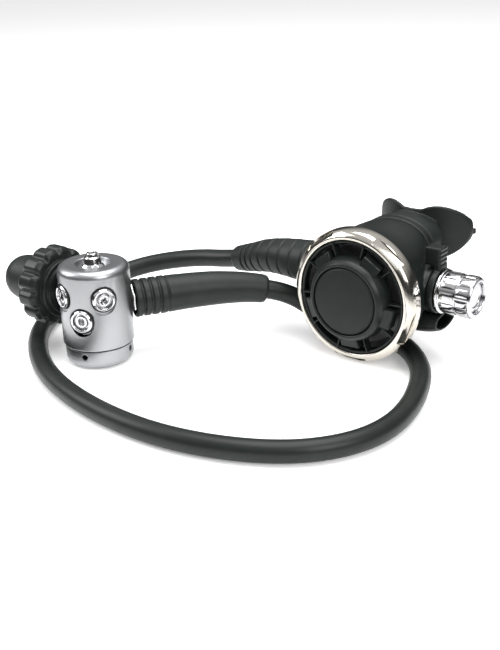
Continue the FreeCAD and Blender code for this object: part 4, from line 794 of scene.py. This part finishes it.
@dataclass
class HoseRun:
    """The free hose with its protector sleeve and its ribbed boot."""

    radius: float = 5.75
    bore: float = 6.0
    socket: float = 7.7
    socket_end: float = 16.0
    start: Point3 = (14.838, 23.745, 33.4)
    second: Point3 = (26.496, 42.403, 33.4)
    end: Point3 = (70.3, 106.3, 42.9)
    before_end: Point3 = (50.3, 106.3, 42.9)
    route: tuple[Point3, ...] = (
        (40.3, 61.8, 33.0), (54.8, 79.6, 30.6), (69.0, 95.3, 24.4),
        (82.9, 104.7, 12.4), (98.4, 110.6, 7.3), (115.0, 111.8, 5.75), (131.2, 108.6, 5.75),
        (145.9, 101.3, 5.75), (158.2, 90.2, 5.75), (168.8, 75.8, 5.75), (177.0, 57.5, 5.75),
        (183.0, 37.5, 5.75), (185.5, 17.0, 5.75), (182.5, -2.5, 5.75), (173.5, -20.0, 5.75),
        (159.5, -34.5, 5.75), (141.0, -45.5, 5.75), (119.5, -53.3, 5.75), (97.0, -57.6, 5.75),
        (73.0, -58.2, 5.75), (48.5, -55.6, 5.75), (25.0, -50.2, 5.75), (3.0, -42.2, 5.75),
        (-17.0, -31.0, 5.75), (-34.5, -17.5, 5.75), (-49.5, -2.0, 5.75), (-61.0, 16.0, 5.9),
        (-67.8, 35.5, 7.6), (-68.8, 56.0, 11.0), (-63.0, 75.5, 15.5), (-50.5, 92.0, 20.5),
        (-33.5, 103.5, 24.4), (-14.0, 109.0, 28.0), (8.0, 110.3, 31.0), (30.0, 109.0, 36.4))
    line: list[Vector] = field(default_factory=list)

    def build(self) -> None:
        hose = self.spline("hose_rubber_run")
        sleeve = self.sleeve()
        boot = self.boot()
        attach(hose, Body.SET.value)
        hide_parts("hose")

    def spline(self, name: str) -> bpy.types.Object:
        """The hose itself, one smooth curve that its route draws."""
        points = [self.start, self.second, *self.route, self.before_end, self.end]
        data = bpy.data.curves.new(name, "CURVE")
        data.dimensions = "3D"
        run = data.splines.new("NURBS")
        run.points.add(len(points) - 1)
        for knot, spot in zip(run.points, points):
            knot.co = (*(part * MM for part in spot), 1.0)
        run.order_u = 3
        run.use_endpoint_u = True
        run.resolution_u = 16
        run.use_smooth = True
        made = placed(name, data)
        bare = evaluated(made)
        self.line = [vert.co / MM for vert in bare.vertices]
        bpy.data.meshes.remove(bare)
        data.bevel_depth = self.radius * MM
        data.bevel_resolution = 10
        data.use_fill_caps = True
        data.materials.append(HOSE_RUBBER.material())
        return made

    def station(self, line: Sequence[Vector], distance: float) -> tuple[Vector, Vector]:
        """A place along the hose's line.

        Args:
            line: The line's points, from the end that is measured from.
            distance: How far along it, in millimetres; less than 0 is straight back from its end.

        Returns:
            The point there and the direction of the line.
        """
        if distance <= 0:
            course = (line[1] - line[0]).normalized()
            return line[0] + course * distance, course
        left = distance
        for index, (before, after) in enumerate(zip(line, line[1:])):
            step = (after - before).length
            if left <= step:
                share = left / step
                here = (after - before).normalized()
                ahead = line[min(index + 2, len(line) - 1)] - after
                course = here if ahead.length < 1e-9 else here.lerp(ahead.normalized(), share * 0.5)
                return before.lerp(after, share), course.normalized()
            left -= step
        return line[-1], (line[-1] - line[-2]).normalized()

    def swept(self, line: Sequence[Vector], profile: Sequence[Point2],
              segments: int = 72) -> Shape:
        """A sleeve along a line, from a closed outline of (distance along it, radius)."""
        shape = bmesh.new()
        rings = []
        for distance, radius in profile:
            spot, course = self.station(line, distance)
            side = course.cross(Vector((0, 0, 1))).normalized()
            up = side.cross(course).normalized()
            ring = []
            for step in range(segments):
                angle = 2 * math.pi * step / segments
                offset = side * math.cos(angle) + up * math.sin(angle)
                ring.append(shape.verts.new(spot + offset * radius))
            rings.append(ring)
        return bridged(shape, rings)

    def filled(self, profile: Sequence[Point2], gap: float = 1.2) -> list[Point2]:
        """Add points along a profile's long edges, so that a sleeve bends smoothly."""
        points: list[Point2] = []
        for (s0, r0), (s1, r1) in zip(profile, list(profile[1:]) + [profile[0]]):
            count = max(1, math.ceil(abs(s1 - s0) / gap))
            points += [(s0 + (s1 - s0) * k / count, r0 + (r1 - r0) * k / count)
                       for k in range(count)]
        return points

    def sleeve(self) -> bpy.types.Object:
        """The smooth hose protector at the first stage, with four moulded rings."""
        outline = []
        lead, length, rings, pitch = -6.4, 81, 4, 5.0
        for ring in range(rings):
            base = lead + ring * pitch
            outline += [(base, 10.2), (base + 0.5, 11.1), (base + 3.6, 11.1), (base + 4.1, 10.2)]
        outline += [(lead + 20.2, 10.9), (lead + 48, 10.1), (lead + length - 2, 8.5),
                    (lead + length - 0.5, 7.9), (lead + length, 7.0), (lead + length, self.bore),
                    (self.socket_end + 0.1, self.bore), (self.socket_end, self.socket),
                    (-1.6, self.socket), (-1.8, 9.7), (lead, 9.7)]
        shape = self.swept(self.line, self.filled(eased_loop(outline, 0.45)))
        return Piece("protector_sleeve", shape, Matrix.Scale(MM, 4), SOFT_RUBBER,
                     replaces=("hose_sleeve",)).settle(60)

    def boot(self) -> bpy.types.Object:
        """The ribbed boot at the second stage, its ribs shrinking with the taper."""
        lead, full, tip, length = -14.1, 13.8, 8.0, 69.0
        outline = [(lead, 13.2), (lead + 0.6, full)]
        base = lead + 8.4
        for pitch, depth in ((8.4, 0.4), (8.2, 0.4), (8.0, 0.4), (7.8, 0.45), (7.4, 0.5),
                             (5.6, 0.9), (4.6, 1.1), (4.4, 1.1)):
            crest = full + (tip - full) * (base - lead) / length
            outline += [(base - 0.5, crest), (base - 0.1, crest - depth),
                        (base + 0.5, crest - depth), (base + 1.0, crest)]
            base += pitch
        outline += [(lead + length - 1.8, tip), (lead + length - 0.3, tip - 0.9),
                    (lead + length, self.bore), (self.socket_end + 0.1, self.bore),
                    (self.socket_end, self.socket), (-1.0, self.socket), (-1.1, 11.75),
                    (lead, 11.75)]
        shape = self.swept(self.line[::-1], self.filled(eased_loop(outline, 0.3)))
        return Piece("ribbed_boot", shape, Matrix.Scale(MM, 4), SOFT_RUBBER,
                     replaces=("hose_boot",)).settle(60)


def eased_loop(outline: Sequence[Point2], ease: float) -> list[Point2]:
    """Round the corners of an outline of (distance, radius) points."""
    turned = [(radius, distance) for distance, radius in outline]
    return [(distance, radius) for radius, distance in eased(turned, ease, 4)]


@dataclass
class SecondStage:
    """The round demand valve with its ring, cover, housing, knob and mouthpiece."""

    pockets: int = 5
    pocket_reach: float = 40.4
    pocket_tilt: float = 28.0
    hub: float = 24.6
    spokes: int = 10
    lobes: int = 5
    knob_start: float = 42.0
    knob_end: float = 62.6
    pads: int = 11
    pad_root: float = 11.0

    def build(self) -> None:
        """Make every visible piece of the second stage."""
        self.ring()
        self.cover()
        self.button()
        self.knob()
        moulded("housing_shell", "second_stage_housing", BLACK_PLASTIC, 0.6, 8).settle(60)
        moulded("exhaust_deflector", "exhaust_tee", SOFT_RUBBER, 0.55, 8).settle(60)
        moulded("soft_mouthpiece", "mouthpiece", SOFT_RUBBER, 0.5, 10).settle(60)
        moulded("airflow_tab", "airflow_lever", BLACK_PLASTIC, 0.34, 36, Body.AIRFLOW).settle(60)

    def ring(self) -> None:
        """The polished steel ring with its shallow wrench pockets."""
        outline = [(32.9, 0.9), (33.6, 0.0), (35.1, 0.0), (36.6, 0.9), (37.8, 2.1), (38.3, 3.0),
                   (38.7, 5.0), (38.9, 7.6), (38.9, 10.0), (38.1, 11.0), (34.9, 11.0), (34.9, 3.4),
                   (32.9, 3.4)]
        piece = Piece("steel_ring", lathe(eased(outline, 0.5), 256), SECOND_STAGE, STEEL_RING,
                      replaces=("retaining_ring",))
        tilt = Matrix.Rotation(math.radians(self.pocket_tilt), 4, "Y")
        tools = []
        for number in range(self.pockets):
            turn = Matrix.Rotation(math.radians(360 / self.pockets * number - 54), 4, "Z")
            pocket = brick((10, 23, 8), (0, 0, 0), tilt)
            bmesh.ops.bevel(pocket, geom=pocket.edges[:], offset=1.3, segments=4, affect="EDGES")
            pocket.transform(turn @ Matrix.Translation((self.pocket_reach, 0, 0.55)))
            tools.append(pocket)
        piece.cut(tools, SECOND_STAGE)
        piece.soften(0.3, 20, 3).settle(25)

    def cover(self) -> None:
        """The front cover: rim, hub, well, thin spokes and lobes."""
        rim = lathe(eased([(31.1, 1.4), (31.7, 0.8), (32.7, 0.8), (32.7, 3.4), (34.7, 3.4),
                           (34.7, 5.4), (31.1, 5.4)], 0.3), 192)
        hub = lathe(eased([(19.8, -6.6), (20.3, -7.0), (21.5, -7.0), (23.2, -5.0), (24.4, -1.0),
                           (self.hub, 4.4), (21.6, 4.4), (21.6, 2.8), (4.6, 2.8), (4.6, 1.4),
                           (19.8, 1.4)], 0.9, 5), 192)
        spoke = brick((8.4, 0.7, 5.0), (0, 0, 2.2))
        spokes = RingRepeat.shape(spoke, self.spokes, 27.9, -148, BLACK_PLASTIC)
        lobe = brick((7.4, 10.6, 9.0), (0, 0, -0.1))
        for vert in lobe.verts:
            if vert.co.x > 0 and vert.co.z < 0:
                vert.co.z += 2.4
                vert.co.y *= 1.16
        bmesh.ops.bevel(lobe, geom=lobe.edges[:], offset=0.5, segments=3, affect="EDGES")
        lobes = RingRepeat.shape(lobe, self.lobes, self.hub, -58, BLACK_PLASTIC)
        Piece("vented_cover", merged(rim, hub, spokes, lobes), SECOND_STAGE, BLACK_PLASTIC,
              replaces=("front_cover",)).settle(40)

    def button(self) -> None:
        """The soft purge button with its low dome."""
        outline = [(0, -8.5), (5, -8.4), (10, -8.1), (15, -7.55), (18.4, -7.0), (19.4, -6.0),
                   (19.4, -3.4), (5.0, -3.4), (3.6, -2.2), (3.6, 10.1), (0, 10.1)]
        Piece("purge_pad", lathe(eased(outline, 0.6, 5), 160), SECOND_STAGE, BUTTON_RUBBER,
              Body.BUTTON, ("purge_button",)).settle(50)

    def knob(self) -> None:
        """The chrome knob: two staggered rows of raised pads, and its recessed end."""
        start, end = self.knob_start, self.knob_end
        middle = start + 11.3
        core = [(4.42, start), (12.5, start), (12.5, start + 1.2), (11.2, start + 1.8),
                (11.2, end - 1.0), (10.6, end - 0.1), (9.2, end), (8.8, end - 0.5),
                (8.8, end - 3.0), (4.42, end - 3.0)]
        parts = [lathe(eased(core, 0.35), 160)]
        for low, high, shift in ((start + 2.6, middle - 0.6, 0.0), (middle + 0.6, end - 1.6, 0.5)):
            pad = self.pad(high - low)
            pad.transform(Matrix.Translation((0, 0, (low + high) / 2)))
            first = 360 / self.pads * shift
            parts.append(RingRepeat.shape(pad, self.pads, 0.0, first, BRIGHT_CHROME))
        Piece("ridged_knob", merged(*parts), BARREL, BRIGHT_CHROME, Body.KNOB,
              ("adjusting_knob",)).settle(40)
        disc = [(0, end - 6.0), (4.4, end - 6.0), (4.4, end - 3.0), (8.2, end - 3.0),
                (7.9, end - 1.8), (5.8, end - 1.8), (5.4, end - 2.3), (0, end - 2.3)]
        Piece("knob_disc", lathe(eased(disc, 0.3), 96), BARREL, BRIGHT_CHROME, Body.KNOB,
              ("knob_end_disc",)).settle(40)

    def pad(self, height: float) -> Shape:
        """One raised pad, as long as the height says and curved with the knob's rim."""
        shape = bmesh.new()
        bmesh.ops.create_cube(shape, size=1.0)
        bmesh.ops.subdivide_edges(shape, edges=shape.edges[:], cuts=6, use_grid_fill=True)
        half = math.pi / self.pads * 0.66
        for vert in shape.verts:
            angle = vert.co.y * 2 * half
            radius = self.pad_root + vert.co.x + 0.5
            edge = max(abs(vert.co.y), abs(vert.co.z)) * 2
            radius -= 0.35 * max(0.0, edge - 0.6) / 0.4 if vert.co.x > 0 else 0.0
            vert.co = (radius * math.cos(angle), radius * math.sin(angle), vert.co.z * height)
        return shape


class Studio:
    """The pale floor, soft lights and the camera.

    The camera sees an even floor and surround. Light and reflections see a floor that darkens away
    from the set, and a dark band at the horizon.
    """

    CENTRE = (0.06, 0.03, 0.0)
    NEAR, FAR = 0.17, 0.45
    FLOOR_TONE, FAR_TONE = 0.93, 0.14
    SKY_TONE, HORIZON_TONE = 0.95, 0.07
    EYE = (0.3955, -0.3621, 0.2382)
    BEARING, DIP, ROLL = 38.13, 22.6, -1.4
    LENS, SENSOR = 54.95, 36.0

    @staticmethod
    def seen_as(wires: Wiring, tone: float, other: bpy.types.NodeSocket) -> bpy.types.NodeSocket:
        """One tone for the camera, and another value for every other ray."""
        path = wires.add("ShaderNodeLightPath")
        pick = wires.add("ShaderNodeMix", data_type="FLOAT", in_0=path.outputs["Is Camera Ray"],
                         in_2=other, in_3=tone)
        return pick.outputs[0]

    @classmethod
    def floor(cls) -> None:
        """A wide pale floor, a hair under the part."""
        shape = bmesh.new()
        bmesh.ops.create_grid(shape, x_segments=1, y_segments=1, size=8.0)
        shape.transform(Matrix.Translation((0, 0, -0.0002)))
        floor = placed("floor", poured(shape, "floor"))
        paint = bpy.data.materials.new("floor_white")
        paint.use_nodes = True
        wires = Wiring(paint.node_tree)
        spot = wires.add("ShaderNodeTexCoord")
        reach = wires.add("ShaderNodeVectorMath", operation="DISTANCE", in_0=spot.outputs["Object"],
                          in_1=cls.CENTRE)
        fade = wires.add("ShaderNodeMapRange", in_0=reach.outputs["Value"], in_1=cls.NEAR,
                         in_2=cls.FAR, in_3=cls.FLOOR_TONE, in_4=cls.FAR_TONE)
        tone = cls.seen_as(wires, cls.FLOOR_TONE, fade.outputs[0])
        wires.fill(paint.node_tree.nodes["Principled BSDF"], in_Roughness=0.9,
                   in_Specular_IOR_Level=0.1, in_Emission_Strength=0.3, in_Base_Color=tone,
                   in_Emission_Color=tone)
        floor.data.materials.append(paint)

    @staticmethod
    def light(name: str, spot: Point3, aim: Point3, size: float, power: float) -> None:
        """A soft square light at one spot, aimed at another, of a width and a power in watts."""
        data = bpy.data.lights.new(name, "AREA")
        data.size = size
        data.energy = power
        lamp = placed(name, data)
        lamp.location = spot
        lamp.rotation_euler = (Vector(aim) - Vector(spot)).to_track_quat("-Z", "Y").to_euler()

    @classmethod
    def lights(cls) -> None:
        """A broad top light, a side light each way, and the surround."""
        cls.light("top_light", (0.1, 0.15, 1.3), (0.05, 0.03, 0), 1.2, 21)
        cls.light("left_light", (-0.9, -0.5, 0.8), (0.05, 0.03, 0.03), 0.7, 9)
        cls.light("right_light", (1.1, -0.3, 0.7), (0.1, 0.05, 0.03), 0.6, 7)
        world = bpy.data.worlds.new("surround")
        world.use_nodes = True
        wires = Wiring(world.node_tree)
        course = wires.add("ShaderNodeTexCoord")
        parts = wires.add("ShaderNodeSeparateXYZ", in_0=course.outputs["Generated"])
        rise = wires.add("ShaderNodeMapRange", in_0=parts.outputs["Z"], in_1=0.25, in_2=0.62,
                         in_3=cls.HORIZON_TONE, in_4=cls.SKY_TONE)
        wires.fill(world.node_tree.nodes["Background"], in_Strength=0.72,
                   in_Color=cls.seen_as(wires, cls.SKY_TONE, rise.outputs[0]))
        bpy.context.scene.world = world
        bpy.context.scene.view_settings.view_transform = "Standard"

    @classmethod
    def camera(cls) -> None:
        """The camera at the photograph's place."""
        data = bpy.data.cameras.new("camera")
        data.lens = cls.LENS
        data.sensor_width = cls.SENSOR
        eye = placed("camera", data)
        eye.matrix_world = (Matrix.Translation(cls.EYE)
                            @ Matrix.Rotation(math.radians(cls.BEARING), 4, "Z")
                            @ Matrix.Rotation(math.radians(90 - cls.DIP), 4, "X")
                            @ Matrix.Rotation(math.radians(cls.ROLL), 4, "Z"))
        bpy.context.scene.camera = eye


def dress_solids() -> None:
    """Give every solid of the frame its finish."""
    for entry in frame["record"]["subparts"]:
        node = frame["nodes"][entry["node"]]
        finish = SLOT_FINISH[entry["material_slot"]]
        node.data.materials.clear()
        node.data.materials.append(finish.material())
        LOG.info("%s: %s", node.name, finish.label)


def main() -> None:
    """Build the set, the studio and the camera."""
    logging.basicConfig(level=logging.INFO, format="%(name)s %(message)s")
    dress_solids()
    FirstStage().build()
    CylinderConnector().build()
    HoseRun().build()
    SecondStage().build()
    Studio.floor()
    Studio.lights()
    Studio.camera()


if __name__ == "__main__":
    main()
